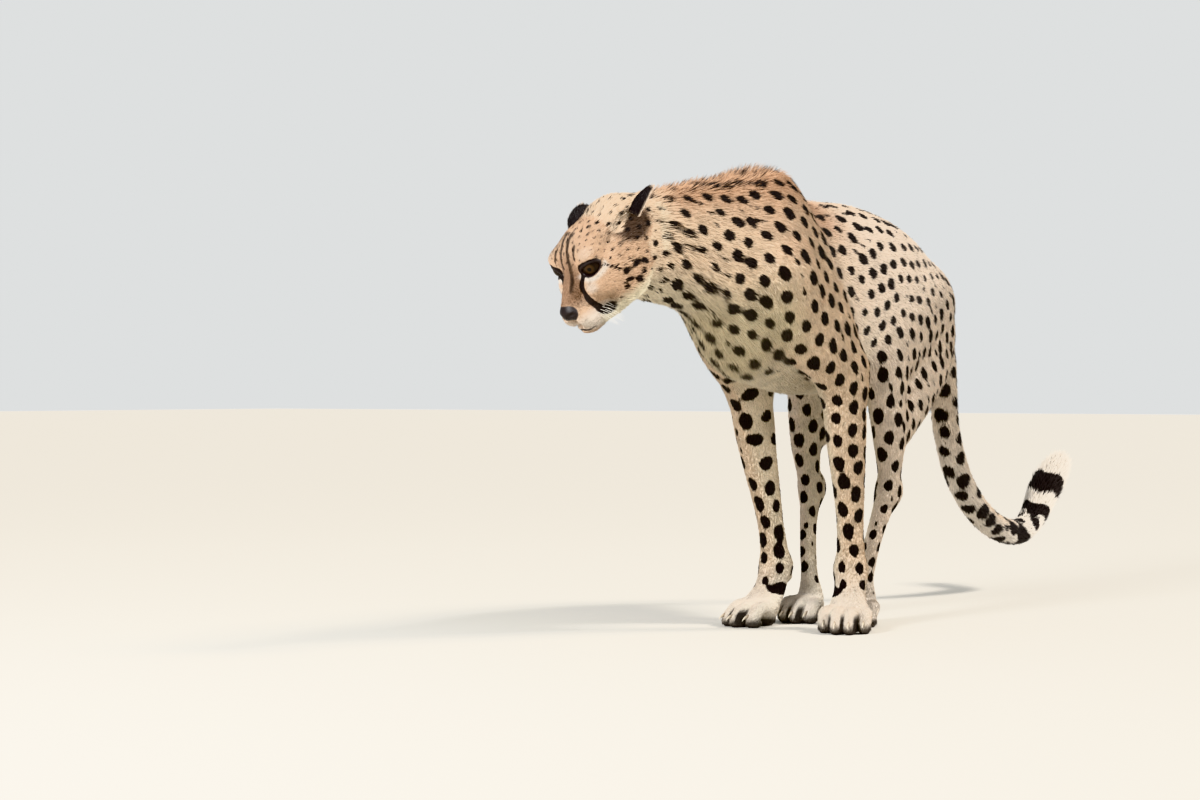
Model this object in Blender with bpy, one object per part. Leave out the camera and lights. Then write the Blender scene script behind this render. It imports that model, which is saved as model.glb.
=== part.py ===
"""Cheetah, life size: a still model that stands bunched up on four feet.

The animal faces -Y, its left side is +X and the floor is z = 0.  Its back is
arched, its head is low and turned to its right, and its tail hangs behind it
and curls up at the end.  The whole body is one smooth form, blended from
tubes and balls that follow the skeleton and muscles, out to the tips of the
coat.  Thin cuts part it into the pieces that a person would name.
"""
import math

import bmesh
import bpy
import numpy as np
from mathutils import Matrix, Vector

for leftover in list(bpy.data.objects):
    bpy.data.objects.remove(leftover, do_unlink=True)

# ---------------------------------------------------------------- dimensions
# All lengths are metres.  y = 0 lies under the wrists, x = 0 is the midline.
BODY_STEP, BODY_FACES = 0.0070, 3150   # grid spacing and triangles: trunk, limbs, tail
HEAD_STEP, HEAD_FACES = 0.0033, 1400   # the same for the head
PAWS_STEP, PAWS_FACES = 0.0040, 1150   # the same for the four paws
PINCH_FILL = 0.0003          # depth given to a filled grid point
GAP = 0.0004                 # clearance between pieces that touch
FLOOR = 0.0

HEAD_CENTRE = Vector((-0.046, -0.500, 0.637))   # midway between the ear bases
HEAD_YAW = math.radians(18.5)                   # turned to the animal's right
HEAD_PITCH = math.radians(40.0)                 # nose down
EYE_PLACE = (0.0960, 0.0345, -0.0245)            # forward, left, up in the head
EYE_RADIUS = 0.0165
EYE_TURN = math.radians(34.0)                   # the orbits face outwards
SOCKET_SLACK = 0.0011        # an eye's facets stay clear of its socket's flat facets
EAR_PLACE = {"left": (-0.004, 0.067, -0.004), "right": (0.014, 0.066, -0.010)}

EAR_LENGTH, EAR_WIDTH, EAR_THICKNESS = 0.035, 0.046, 0.0045
EAR_SUNK = 0.012             # how far the root runs into the head before it is cut off
EAR_ROWS, EAR_COLUMNS = 7, 8

WRIST_SPREAD = 0.069         # half the distance between the fore wrists
WRIST_HEIGHT = 0.095
FOREPAW_TURN = {"left": math.radians(20.0), "right": math.radians(25.0)}
FOREPAW_WIDTH = 0.088
HINDPAW_TURN = math.radians(6.0)
HINDPAW_WIDTH = 0.076

# Stations of the round tubes: x, y, z, half width (x), half depth.
TRUNK = (
    (0.000, -0.270, 0.563, 0.062, 0.093),
    (0.000, -0.200, 0.540, 0.082, 0.131),
    (0.000, -0.120, 0.526, 0.094, 0.148),
    (0.000, -0.030, 0.526, 0.101, 0.154),
    (0.000, 0.060, 0.536, 0.106, 0.149),
    (0.000, 0.150, 0.546, 0.104, 0.127),
    (0.000, 0.230, 0.546, 0.092, 0.098),
    (0.000, 0.300, 0.522, 0.077, 0.076),
    (0.000, 0.355, 0.488, 0.058, 0.060),
    (0.000, 0.395, 0.458, 0.040, 0.040),
)
NECK = (
    (0.000, -0.225, 0.575, 0.078, 0.116),
    (-0.006, -0.300, 0.588, 0.067, 0.106),
    (-0.018, -0.375, 0.590, 0.060, 0.090),
    (-0.032, -0.435, 0.590, 0.057, 0.080),
    (-0.044, -0.485, 0.598, 0.055, 0.066),
)
TAIL = (
    (0.000, 0.395, 0.490, 0.040, 0.040),
    (0.000, 0.440, 0.440, 0.032, 0.034),
    (0.000, 0.459, 0.380, 0.027, 0.028),
    (0.000, 0.471, 0.312, 0.026, 0.026),
    (0.000, 0.512, 0.233, 0.026, 0.026),
    (0.000, 0.585, 0.168, 0.026, 0.026),
    (0.000, 0.673, 0.127, 0.026, 0.026),
    (0.000, 0.765, 0.113, 0.026, 0.026),
    (0.000, 0.830, 0.135, 0.027, 0.027),
    (0.000, 0.886, 0.187, 0.031, 0.032),
    (0.000, 0.943, 0.228, 0.026, 0.027),
    (0.000, 0.964, 0.243, 0.014, 0.015),
)
# Limb tubes of the left side; the right side mirrors them.
SHOULDER_BLADE = (
    (0.034, -0.165, 0.668, 0.020, 0.042),
    (0.054, -0.182, 0.615, 0.034, 0.060),
    (0.074, -0.208, 0.548, 0.036, 0.056),
)
UPPER_ARM = (
    (0.076, -0.206, 0.545, 0.035, 0.050),
    (0.082, -0.150, 0.480, 0.037, 0.064),
    (0.087, -0.085, 0.420, 0.034, 0.052),
    (0.087, -0.055, 0.395, 0.033, 0.044),
)
TRICEPS = (
    (0.062, -0.140, 0.590, 0.028, 0.044),
    (0.080, -0.100, 0.505, 0.030, 0.042),
    (0.088, -0.040, 0.430, 0.024, 0.030),
)
FOREARM = (
    (0.087, -0.058, 0.400, 0.033, 0.042),
    (0.084, -0.045, 0.330, 0.033, 0.039),
    (0.081, -0.033, 0.270, 0.029, 0.033),
    (0.077, -0.020, 0.215, 0.025, 0.027),
    (0.073, -0.009, 0.158, 0.023, 0.021),
    (WRIST_SPREAD, 0.000, WRIST_HEIGHT, 0.026, 0.023),
)
THIGH = (
    (0.044, 0.298, 0.524, 0.043, 0.060),
    (0.055, 0.222, 0.488, 0.043, 0.072),
    (0.064, 0.150, 0.445, 0.038, 0.060),
    (0.068, 0.108, 0.412, 0.034, 0.044),
)
HAMSTRING = (
    (0.041, 0.343, 0.466, 0.035, 0.042),
    (0.053, 0.288, 0.418, 0.037, 0.050),
    (0.066, 0.215, 0.370, 0.032, 0.046),
    (0.074, 0.152, 0.318, 0.024, 0.032),
)
SHANK = (
    (0.070, 0.108, 0.408, 0.032, 0.040),
    (0.075, 0.110, 0.360, 0.030, 0.042),
    (0.078, 0.112, 0.297, 0.025, 0.034),
    (0.076, 0.116, 0.245, 0.019, 0.026),
    (0.072, 0.120, 0.215, 0.018, 0.027),
)
HIND_CANNON = (
    (0.072, 0.120, 0.215, 0.018, 0.026),
    (0.066, 0.100, 0.170, 0.014, 0.020),
    (0.059, 0.086, 0.125, 0.013, 0.018),
    (0.052, 0.078, 0.075, 0.014, 0.018),
    (0.049, 0.078, 0.042, 0.022, 0.020),
)
HINDPAW_PLACE = (0.049, 0.078)


# ------------------------------------------------------------------- forms
def curve_through(stations, pieces=5):
    """Points and radii along a smooth curve through the stations."""
    knots = np.array(stations, float)
    padded = np.vstack((2 * knots[0] - knots[1], knots, 2 * knots[-1] - knots[-2]))
    samples = []
    for start in range(len(knots) - 1):
        p0, p1, p2, p3 = padded[start:start + 4]
        for t in np.arange(pieces) / pieces:
            samples.append(0.5 * (2 * p1 + (p2 - p0) * t
                                  + (2 * p0 - 5 * p1 + 4 * p2 - p3) * t ** 2
                                  + (3 * p1 - p0 - 3 * p2 + p3) * t ** 3))
    samples.append(knots[-1])
    return np.array(samples)


def ellipse_distance(across, along, half_width, half_depth):
    """Distance from an ellipse, near enough for blending."""
    scaled = np.sqrt((across / half_width) ** 2 + (along / half_depth) ** 2)
    slope = np.sqrt((across / half_width ** 2) ** 2 + (along / half_depth ** 2) ** 2)
    return scaled * (scaled - 1.0) / np.maximum(slope, 1e-6)


def tube(stations, blend, side=(1.0, 0.0, 0.0), egg=0.0):
    """A tube with elliptic sections; egg makes the top of a section wider."""
    path = curve_through(stations)
    side = np.array(side, float)

    def distance(points):
        nearest = np.full(len(points), 9.0)
        for start, end in zip(path[:-1], path[1:]):
            run = end[:3] - start[:3]
            away = points - start[:3]
            t = np.clip(away @ run / (run @ run), 0.0, 1.0)
            offset = away - t[:, None] * run
            half_width = start[3] + t * (end[3] - start[3])
            half_depth = start[4] + t * (end[4] - start[4])
            if egg:
                height = np.clip(offset[:, 2] / half_depth, -1.0, 1.0)
                half_width = half_width * (1.0 + egg * height)
            across = offset @ side
            square = np.maximum(np.einsum("ij,ij->i", offset, offset) - across ** 2, 0.0)
            value = ellipse_distance(across, np.sqrt(square), half_width, half_depth)
            nearest = np.minimum(nearest, value)
        return nearest

    reach = path[:, 3:5].max(axis=1)[:, None]
    return {"distance": distance, "blend": blend, "add": True,
            "low": (path[:, :3] - reach).min(axis=0),
            "high": (path[:, :3] + reach).max(axis=0)}


def ball(centre, radii, blend, axes=None, add=True):
    """An ellipsoid; axes holds its own three directions as rows."""
    centre = np.array(centre, float)
    radii = np.array(radii, float)
    turn = np.eye(3) if axes is None else np.array(axes, float)

    def distance(points):
        local = (points - centre) @ turn.T
        scaled = np.sqrt(((local / radii) ** 2).sum(axis=1))
        slope = np.sqrt(((local / radii ** 2) ** 2).sum(axis=1))
        return scaled * (scaled - 1.0) / np.maximum(slope, 1e-6)

    reach = radii.max()
    return {"distance": distance, "blend": blend, "add": add,
            "low": centre - reach, "high": centre + reach}


def mirrored(stations):
    return tuple((-x, y, z, width, depth) for x, y, z, width, depth in stations)


def smooth_min(first, second, blend):
    overlap = np.maximum(blend - np.abs(first - second), 0.0) / blend
    return np.minimum(first, second) - overlap ** 2 * blend / 4.0


def blended_distance(forms, points):
    """Signed distance of the blended forms at every point."""
    total = np.full(len(points), 1.0)
    for form in forms:
        margin = form["blend"] + 0.03
        near = np.all((points > form["low"] - margin)
                      & (points < form["high"] + margin), axis=1)
        value = form["distance"](points[near])
        if form["add"]:
            total[near] = smooth_min(total[near], value, form["blend"])
        else:
            total[near] = -smooth_min(-total[near], value, form["blend"])
    return total


# --------------------------------------------------------------- head frame
def head_axes():
    forward = np.array((-math.sin(HEAD_YAW) * math.cos(HEAD_PITCH),
                        -math.cos(HEAD_YAW) * math.cos(HEAD_PITCH),
                        -math.sin(HEAD_PITCH)))
    left = np.array((math.cos(HEAD_YAW), -math.sin(HEAD_YAW), 0.0))
    return np.array((forward, left, np.cross(forward, left)))


HEAD_AXES = head_axes()


def in_head(forward, left, up):
    """World place of a point given in the head's own directions."""
    return np.array(HEAD_CENTRE) + np.array((forward, left, up)) @ HEAD_AXES


def head_ball(place, radii, blend, add=True):
    return ball(in_head(*place), radii, blend, HEAD_AXES, add)


def head_tube(stations, blend):
    placed = [(*in_head(*station[:3]), *station[3:]) for station in stations]
    return tube(placed, blend, side=HEAD_AXES[1])


def eye_axes(sign):
    """Outward, upward and looking directions of an eye."""
    looking = np.array((math.cos(EYE_TURN), math.sin(EYE_TURN) * sign, 0.04))
    looking = looking / np.linalg.norm(looking)
    outward = np.array((-math.sin(EYE_TURN), math.cos(EYE_TURN) * sign, 0.10))
    outward = outward - looking * (outward @ looking)
    outward = outward / np.linalg.norm(outward)
    return np.array((outward, np.cross(looking, outward) * sign, looking)) @ HEAD_AXES


def eye_forms(sign):
    """The lids: a bulge round the eyeball with an almond opening in front."""
    forward, left, up = EYE_PLACE
    centre = in_head(forward, left * sign, up)
    axes = eye_axes(sign)
    lids = ball(centre, (EYE_RADIUS + 0.003,) * 3, 0.008)
    opening = ball(centre + axes[2] * 0.022, (0.0170, 0.0105, 0.024), 0.003, axes, add=False)
    return [lids, opening]


def head_forms():
    """Skull, brow, muzzle, cheeks and jaw, given forward, left and up."""
    forms = [
        head_ball((0.014, 0.0, -0.032), (0.056, 0.054, 0.046), 0.018),
        head_ball((0.065, 0.0, -0.016), (0.047, 0.044, 0.038), 0.016),
        head_tube(((0.085, 0.0, -0.026, 0.022, 0.022),
                   (0.113, 0.0, -0.040, 0.017, 0.018),
                   (0.142, 0.0, -0.061, 0.015, 0.014)), 0.016),
        head_ball((0.150, 0.0, -0.066), (0.0115, 0.0160, 0.0105), 0.006),
        head_ball((0.129, 0.0, -0.101), (0.019, 0.017, 0.012), 0.012),
    ]
    for sign in (1.0, -1.0):
        forms += [
            head_ball((0.054, 0.040 * sign, -0.048), (0.044, 0.024, 0.034), 0.022),
            head_ball((0.056, 0.036 * sign, -0.076), (0.044, 0.022, 0.026), 0.018),
            head_ball((0.129, 0.016 * sign, -0.080), (0.025, 0.0185, 0.020), 0.010),
            head_ball((0.090, 0.033 * sign, -0.007), (0.021, 0.019, 0.011), 0.016),
            head_ball((0.098, 0.031 * sign, -0.054), (0.026, 0.019, 0.024), 0.016),
        ]
        forms.append(head_tube(((0.124, 0.006 * sign, -0.098, 0.013, 0.011),
                                (0.098, 0.024 * sign, -0.097, 0.016, 0.015),
                                (0.055, 0.034 * sign, -0.088, 0.020, 0.022)), 0.016))
        forms += eye_forms(sign)
    return forms


# -------------------------------------------------------------------- paws
def paw_directions(turn, sign):
    """Forward and outward directions of a paw turned out by an angle."""
    forward = np.array((sign * math.sin(turn), -math.cos(turn), 0.0))
    outward = np.array((sign * math.cos(turn), math.sin(turn), 0.0))
    return forward, outward


def toe_plan(width):
    """Sideways place, reach and radius of the four toes, outer toe last."""
    scale = width / 0.088
    return [(-0.0310 * scale, 0.046 * scale, 0.0120), (-0.0108 * scale, 0.063 * scale, 0.0128),
            (0.0108 * scale, 0.063 * scale, 0.0128), (0.0310 * scale, 0.044 * scale, 0.0120)]


def paw_forms(place, turn, sign, width):
    """Toes, toe pads and the main pad of one paw, standing on the floor."""
    forward, outward = paw_directions(turn, sign)
    base = np.array((place[0] * sign, place[1], 0.0))
    up = np.array((0.0, 0.0, 1.0))
    axes = (outward, forward, up)
    scale = width / 0.088
    forms = [
        ball(base + forward * 0.016 + up * 0.022,
             (0.034 * scale, 0.030, 0.022), 0.014, axes),
        ball(base + forward * 0.006 + up * 0.008,
             (0.024 * scale, 0.020, 0.013), 0.008, axes),
    ]
    for sideways, reach, radius in toe_plan(width):
        root = base + outward * sideways * 0.8 + forward * 0.012 + up * 0.030
        knuckle = base + outward * sideways + forward * reach * 0.72 + up * 0.029
        tip = base + outward * sideways + forward * reach + up * 0.014
        stations = [(*root, radius, radius * 1.05), (*knuckle, radius, radius),
                    (*tip, radius * 0.95, radius)]
        forms.append(tube(stations, 0.007, side=outward))
        pad = base + outward * sideways + forward * (reach - 0.002) + up * 0.007
        forms.append(ball(pad, (radius * 0.9, radius * 1.25, 0.011), 0.005, axes))
    return forms


# ------------------------------------------------------------- whole animal
def limb_forms(side):
    sign = 1.0 if side == "left" else -1.0
    own = (lambda stations: stations) if side == "left" else mirrored
    forward, _ = paw_directions(FOREPAW_TURN[side], sign)
    wrist = np.array((sign * WRIST_SPREAD, 0.0, WRIST_HEIGHT))
    palm = wrist + forward * 0.012 - np.array((0.0, 0.0, 0.036))
    knuckles = wrist + forward * 0.026 - np.array((0.0, 0.0, 0.058))
    fore_cannon = ((*wrist, 0.026, 0.023), (*palm, 0.028, 0.021), (*knuckles, 0.034, 0.019))
    carpal_pad = wrist - forward * 0.020 - np.array((0.0, 0.0, 0.016))
    forms = [
        tube(own(SHOULDER_BLADE), 0.045),
        tube(own(UPPER_ARM), 0.030),
        tube(own(TRICEPS), 0.025),
        ball((sign * 0.089, -0.024, 0.412), (0.019, 0.019, 0.024), 0.020),
        tube(own(FOREARM), 0.024),
        tube(fore_cannon, 0.016),
        ball(carpal_pad, (0.011, 0.010, 0.012), 0.010),
        tube(own(THIGH), 0.045),
        tube(own(HAMSTRING), 0.030),
        tube(own(SHANK), 0.026),
        ball((sign * 0.072, 0.140, 0.222), (0.012, 0.013, 0.022), 0.014),
        tube(own(HIND_CANNON), 0.014),
    ]
    forms += paw_forms((WRIST_SPREAD + 0.020 * math.sin(FOREPAW_TURN[side]),
                        -0.020 * math.cos(FOREPAW_TURN[side])),
                       FOREPAW_TURN[side], sign, FOREPAW_WIDTH)
    forms += paw_forms(HINDPAW_PLACE, HINDPAW_TURN, sign, HINDPAW_WIDTH)
    return forms


def animal_forms():
    forms = [
        tube(TRUNK, 0.04, egg=0.10),
        tube(NECK, 0.03),
        ball((0.0, -0.185, 0.662), (0.044, 0.092, 0.046), 0.050),
        ball((0.0, -0.215, 0.485), (0.066, 0.058, 0.076), 0.050),
        ball((0.0, 0.305, 0.522), (0.058, 0.088, 0.064), 0.040),
        tube(TAIL, 0.030),
    ]
    forms += head_forms()
    for side in ("left", "right"):
        forms += limb_forms(side)
    return forms


# ------------------------------------------------------------ form to mesh
def fill_pinches(field):
    """Fill grid points that would leave two sheets touching along an edge."""
    for _ in range(4):
        for one, two in ((0, 1), (0, 2), (1, 2)):
            turned = np.moveaxis(field, (one, two), (0, 1))
            a, b = turned[:-1, :-1], turned[1:, :-1]
            c, d = turned[1:, 1:], turned[:-1, 1:]
            b[(a < 0.0) & (c < 0.0) & (b >= 0.0) & (d >= 0.0)] = -PINCH_FILL
            a[(b < 0.0) & (d < 0.0) & (a >= 0.0) & (c >= 0.0)] = -PINCH_FILL


def grid_mesh(forms, low, high, step):
    """Vertices and quads of the surface where the blended distance is zero."""
    lines = [np.arange(low[axis], high[axis] + step, step) for axis in range(3)]
    shape = tuple(len(line) for line in lines)
    grid = np.stack(np.meshgrid(*lines, indexing="ij"), axis=-1).reshape(-1, 3)
    field = blended_distance(forms, grid).reshape(shape)
    inner = np.zeros(shape, bool)
    inner[1:-1, 1:-1, 1:-1] = True
    field[~inner] = np.abs(field[~inner]) + step
    fill_pinches(field)
    cells, places, quads = [], [], []
    for axis in range(3):
        first = np.take(field, range(shape[axis] - 1), axis=axis)
        second = np.take(field, range(1, shape[axis]), axis=axis)
        crossing = np.argwhere((first < 0.0) != (second < 0.0))
        a = first[tuple(crossing.T)]
        b = second[tuple(crossing.T)]
        place = crossing.astype(float)
        place[:, axis] += a / (a - b)
        one, two = [other for other in range(3) if other != axis]
        around = []
        for back_one, back_two in ((0, 0), (1, 0), (1, 1), (0, 1)):
            cell = crossing.copy()
            cell[:, one] -= back_one
            cell[:, two] -= back_two
            around.append(np.ravel_multi_index(cell.T, shape))
            cells.append(around[-1])
            places.append(place)
        ring = np.stack(around, axis=1)
        flip = (a < 0.0) if axis == 1 else (a >= 0.0)
        ring[flip] = ring[flip][:, ::-1]
        quads.append(ring)
    used, index = np.unique(np.concatenate(cells), return_inverse=True)
    places = np.concatenate(places)
    count = np.bincount(index)
    vertices = np.stack([np.bincount(index, places[:, axis]) / count
                         for axis in range(3)], axis=1)
    faces = np.searchsorted(used, np.concatenate(quads))
    return np.array(low) + vertices * step, faces


def mesh_object(name, vertices, faces):
    mesh = bpy.data.meshes.new(name)
    mesh.from_pydata([tuple(v) for v in vertices], [], [tuple(f) for f in faces])
    mesh.update()
    made = bpy.data.objects.new(name, mesh)
    bpy.context.collection.objects.link(made)
    return made


def apply_modifiers(target):
    """Keep the evaluated shape as the object's own mesh."""
    graph = bpy.context.evaluated_depsgraph_get()
    shaped = bpy.data.meshes.new_from_object(target.evaluated_get(graph))
    target.modifiers.clear()
    target.data = shaped


def reduce_faces(target, wanted):
    triangles = sum(len(face.vertices) - 2 for face in target.data.polygons)
    reducer = target.modifiers.new("reduce", "DECIMATE")
    reducer.ratio = min(1.0, wanted / triangles)
    reducer.use_collapse_triangulate = True
    apply_modifiers(target)


def region_object(name, forms, low, high, step, wanted):
    """The blended form inside a box, meshed and reduced."""
    made = mesh_object(name, *grid_mesh(forms, low, high, step))
    reduce_faces(made, wanted)
    return made


def boolean(target, cutter, operation):
    cut = target.modifiers.new("cut", "BOOLEAN")
    cut.operation = operation
    cut.solver = "EXACT"
    cut.object = cutter
    apply_modifiers(target)


def remove(thing):
    bpy.data.objects.remove(thing, do_unlink=True)


def copy_of(source, name):
    twin = source.copy()
    twin.data = source.data.copy()
    twin.name = name
    bpy.context.collection.objects.link(twin)
    return twin


def keep_largest(target):
    """Drop crumbs that a cut leaves beside the main body of a piece."""
    shape = bmesh.new()
    shape.from_mesh(target.data)
    shape.verts.ensure_lookup_table()
    unseen = set(shape.verts)
    bodies = []
    while unseen:
        stack = [unseen.pop()]
        body = set(stack)
        while stack:
            for edge in stack.pop().link_edges:
                for vertex in edge.verts:
                    if vertex in unseen:
                        unseen.discard(vertex)
                        body.add(vertex)
                        stack.append(vertex)
        bodies.append(body)
    bodies.sort(key=len)
    for body in bodies[:-1]:
        bmesh.ops.delete(shape, geom=list(body), context="VERTS")
    shape.to_mesh(target.data)
    shape.free()


# ----------------------------------------------------------------- cutters
def grown_outline(outline, grow):
    """The convex outline moved outwards by a small distance."""
    corners = [Vector(corner) for corner in outline]
    turned = sum(a.x * b.y - b.x * a.y for a, b in zip(corners, corners[1:] + corners[:1]))
    if turned < 0.0:
        corners.reverse()
    grown = []
    for before, corner, after in zip(corners[-1:] + corners, corners, corners[1:] + corners[:1]):
        into = (corner - before).normalized()
        out_of = (after - corner).normalized()
        normal = (Vector((into.y, -into.x)) + Vector((out_of.y, -out_of.x)))
        grown.append(corner + normal * (grow / (normal.length_squared / 2.0)))
    return grown


def prism(outline, inner, outer, grow=0.0):
    """A cutter: a convex outline in y and z, carried from x inner to outer."""
    ring = grown_outline(outline, grow)
    near = min(inner, outer) - grow
    far = max(inner, outer) + grow
    vertices = [(near, p.x, p.y) for p in ring] + [(far, p.x, p.y) for p in ring]
    count = len(ring)
    faces = [tuple(reversed(range(count))), tuple(range(count, 2 * count))]
    for start in range(count):
        following = (start + 1) % count
        faces.append((start, following, count + following, count + start))
    cutter = mesh_object("cutter", vertices, faces)
    cutter.hide_render = True
    cutter.display_type = "WIRE"
    return cutter


def part_off(body, name, outline, inner, outer, source=None):
    """Take the named piece out of the body and leave a thin gap round it.

    The piece comes from source, a finer mesh of the same form, if one is given.
    """
    piece = copy_of(source or body, name)
    cutter = prism(outline, inner, outer)
    boolean(piece, cutter, "INTERSECT")
    remove(cutter)
    cutter = prism(outline, inner, outer, GAP)
    boolean(body, cutter, "DIFFERENCE")
    remove(cutter)
    keep_largest(piece)
    return piece


UPPER_FORELEG_OUTLINE = ((-0.262, 0.520), (-0.215, 0.655), (-0.110, 0.680), (-0.050, 0.600),
                         (0.012, 0.450), (0.014, 0.345), (-0.118, 0.345), (-0.225, 0.430))
THIGH_OUTLINE = ((0.030, 0.345), (0.030, 0.470), (0.130, 0.560), (0.270, 0.625),
                 (0.365, 0.600), (0.450, 0.520), (0.460, 0.440), (0.300, 0.300), (0.230, 0.270),
                 (0.150, 0.315))
HEAD_OUTLINE = ((-0.80, 0.30), (-0.452, 0.30), (-0.474, 0.80), (-0.80, 0.80))
NECK_OUTLINE = ((-0.470, 0.30), (-0.284, 0.30), (-0.262, 0.80), (-0.490, 0.80))
TAIL_ROOT_OUTLINE = ((0.400, 0.390), (0.470, 0.470), (0.60, 0.50), (0.60, 0.25), (0.40, 0.25))
ELBOW_CUT, WRIST_CUT = 0.345, 0.103
KNEE_CUT, ANKLE_CUT = 0.330, 0.080
PAW_DIVIDE = 0.0100          # y between a fore paw and the hind paw behind it


def rectangle(front, back, bottom, top):
    return ((front, bottom), (back, bottom), (back, top), (front, top))


def part_body(body, head, paws):
    """Part the body with thin cuts, limbs first, and return every piece.

    The soles run a little below the floor, where the paws' cutters end them flat.
    """
    pieces = []
    for side, sign in (("left", 1.0), ("right", -1.0)):
        pieces += [
            part_off(body, "forepaw_" + side, rectangle(-0.20, PAW_DIVIDE, FLOOR, WRIST_CUT),
                     0.0, 0.25 * sign, paws),
            part_off(body, "hindpaw_" + side, rectangle(PAW_DIVIDE + GAP, 0.25, FLOOR, ANKLE_CUT),
                     0.0, 0.25 * sign, paws),
            part_off(body, "lower_foreleg_" + side,
                     rectangle(-0.16, 0.045, WRIST_CUT + GAP, ELBOW_CUT), 0.010 * sign, 0.25 * sign),
            part_off(body, "upper_foreleg_" + side, UPPER_FORELEG_OUTLINE, 0.058 * sign, 0.25 * sign),
            part_off(body, "lower_hindleg_" + side,
                     rectangle(0.0454, 0.205, ANKLE_CUT + GAP, KNEE_CUT), 0.010 * sign, 0.25 * sign),
            part_off(body, "thigh_" + side, THIGH_OUTLINE, 0.036 * sign, 0.25 * sign),
        ]
    pieces += [
        part_off(body, "tail_tip", rectangle(0.700, 1.10, 0.0, 0.50), -0.10, 0.10),
        part_off(body, "tail_middle", rectangle(0.478, 0.6996, 0.0, 0.2600), -0.10, 0.10),
        part_off(body, "tail_root", TAIL_ROOT_OUTLINE, -0.10, 0.10),
        part_off(body, "head", HEAD_OUTLINE, -0.30, 0.30, head),
        part_off(body, "neck", NECK_OUTLINE, -0.30, 0.30),
    ]
    body.name = "trunk"
    keep_largest(body)
    remove(head)
    remove(paws)
    return pieces + [body]


# ------------------------------------------------------- eyes, ears, claws
def sphere(name, centre, radius, segments, rings):
    shape = bmesh.new()
    bmesh.ops.create_uvsphere(shape, u_segments=segments, v_segments=rings, radius=radius)
    mesh = bpy.data.meshes.new(name)
    shape.to_mesh(mesh)
    shape.free()
    mesh.transform(Matrix.Translation(centre))
    made = bpy.data.objects.new(name, mesh)
    bpy.context.collection.objects.link(made)
    return made


def make_eye(side, head):
    """An eyeball in a socket that is a little wider than it."""
    sign = 1.0 if side == "left" else -1.0
    forward, left, up = EYE_PLACE
    centre = in_head(forward, left * sign, up)
    socket = sphere("socket", centre, EYE_RADIUS + GAP, 12, 8)
    boolean(head, socket, "DIFFERENCE")
    remove(socket)
    return sphere("eye_" + side, centre, EYE_RADIUS - SOCKET_SLACK, 14, 8)


def ear_axes(sign):
    """Tip, across and opening directions of an ear that is laid back."""
    tip = np.array((-0.80, 0.32 * sign, 0.50))
    opening = np.array((-0.35, 0.40 * sign, -0.85))
    tip = tip / np.linalg.norm(tip)
    opening = opening - tip * (opening @ tip)
    opening = opening / np.linalg.norm(opening)
    return np.array((tip, np.cross(opening, tip), opening)) @ HEAD_AXES


def closed_shell(name, outer, inner):
    """A closed body between two grids of points that have the same layout."""
    rows, columns = outer.shape[:2]
    vertices = np.concatenate((outer.reshape(-1, 3), inner.reshape(-1, 3)))
    back = rows * columns
    faces = []
    for row in range(rows - 1):
        for column in range(columns - 1):
            corner = row * columns + column
            ring = (corner, corner + 1, corner + columns + 1, corner + columns)
            faces.append(ring)
            faces.append(tuple(back + index for index in reversed(ring)))
    border = [column for column in range(columns)]
    border += [row * columns + columns - 1 for row in range(1, rows)]
    border += [(rows - 1) * columns + column for column in range(columns - 2, -1, -1)]
    border += [row * columns for row in range(rows - 2, 0, -1)]
    for start, end in zip(border, border[1:] + border[:1]):
        faces.append((end, start, back + start, back + end))
    shell = mesh_object(name, vertices, faces)
    shape = bmesh.new()
    shape.from_mesh(shell.data)
    bmesh.ops.recalc_face_normals(shape, faces=list(shape.faces))
    shape.to_mesh(shell.data)
    shape.free()
    return shell


def make_ear(side, head):
    """A small round ear: a cupped shell, open towards the side and down."""
    sign = 1.0 if side == "left" else -1.0
    forward, left, up = EAR_PLACE[side]
    tip, across, opening = ear_axes(sign)
    root = in_head(forward, left * sign, up) - tip * EAR_SUNK
    outer, inner = [], []
    for step in range(EAR_ROWS):
        t = step / (EAR_ROWS - 1)
        breadth = math.sqrt(1.0 - (max(t - 0.40, 0.0) / 0.64) ** 2)
        half_width = EAR_WIDTH / 2.0 * breadth
        curl = math.radians(80.0 - 30.0 * t)
        radius = half_width / math.sin(curl)
        line = root + tip * (EAR_LENGTH + EAR_SUNK) * t
        for grid, own_radius in ((outer, radius), (inner, radius - EAR_THICKNESS)):
            for angle in np.linspace(-curl, curl, EAR_COLUMNS):
                depth = own_radius * math.cos(angle) - radius * math.cos(curl)
                grid.append(line + across * own_radius * math.sin(angle) - opening * depth)
    layout = (EAR_ROWS, EAR_COLUMNS, 3)
    ear = closed_shell("ear_" + side, np.reshape(outer, layout), np.reshape(inner, layout))
    boolean(ear, head, "DIFFERENCE")
    keep_largest(ear)
    outwards = Vector(in_head(0.0, sign, 0.0) - in_head(0.0, 0.0, 0.0))
    ear.data.transform(Matrix.Translation((outwards + Vector(tip)).normalized() * GAP))
    return ear


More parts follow.
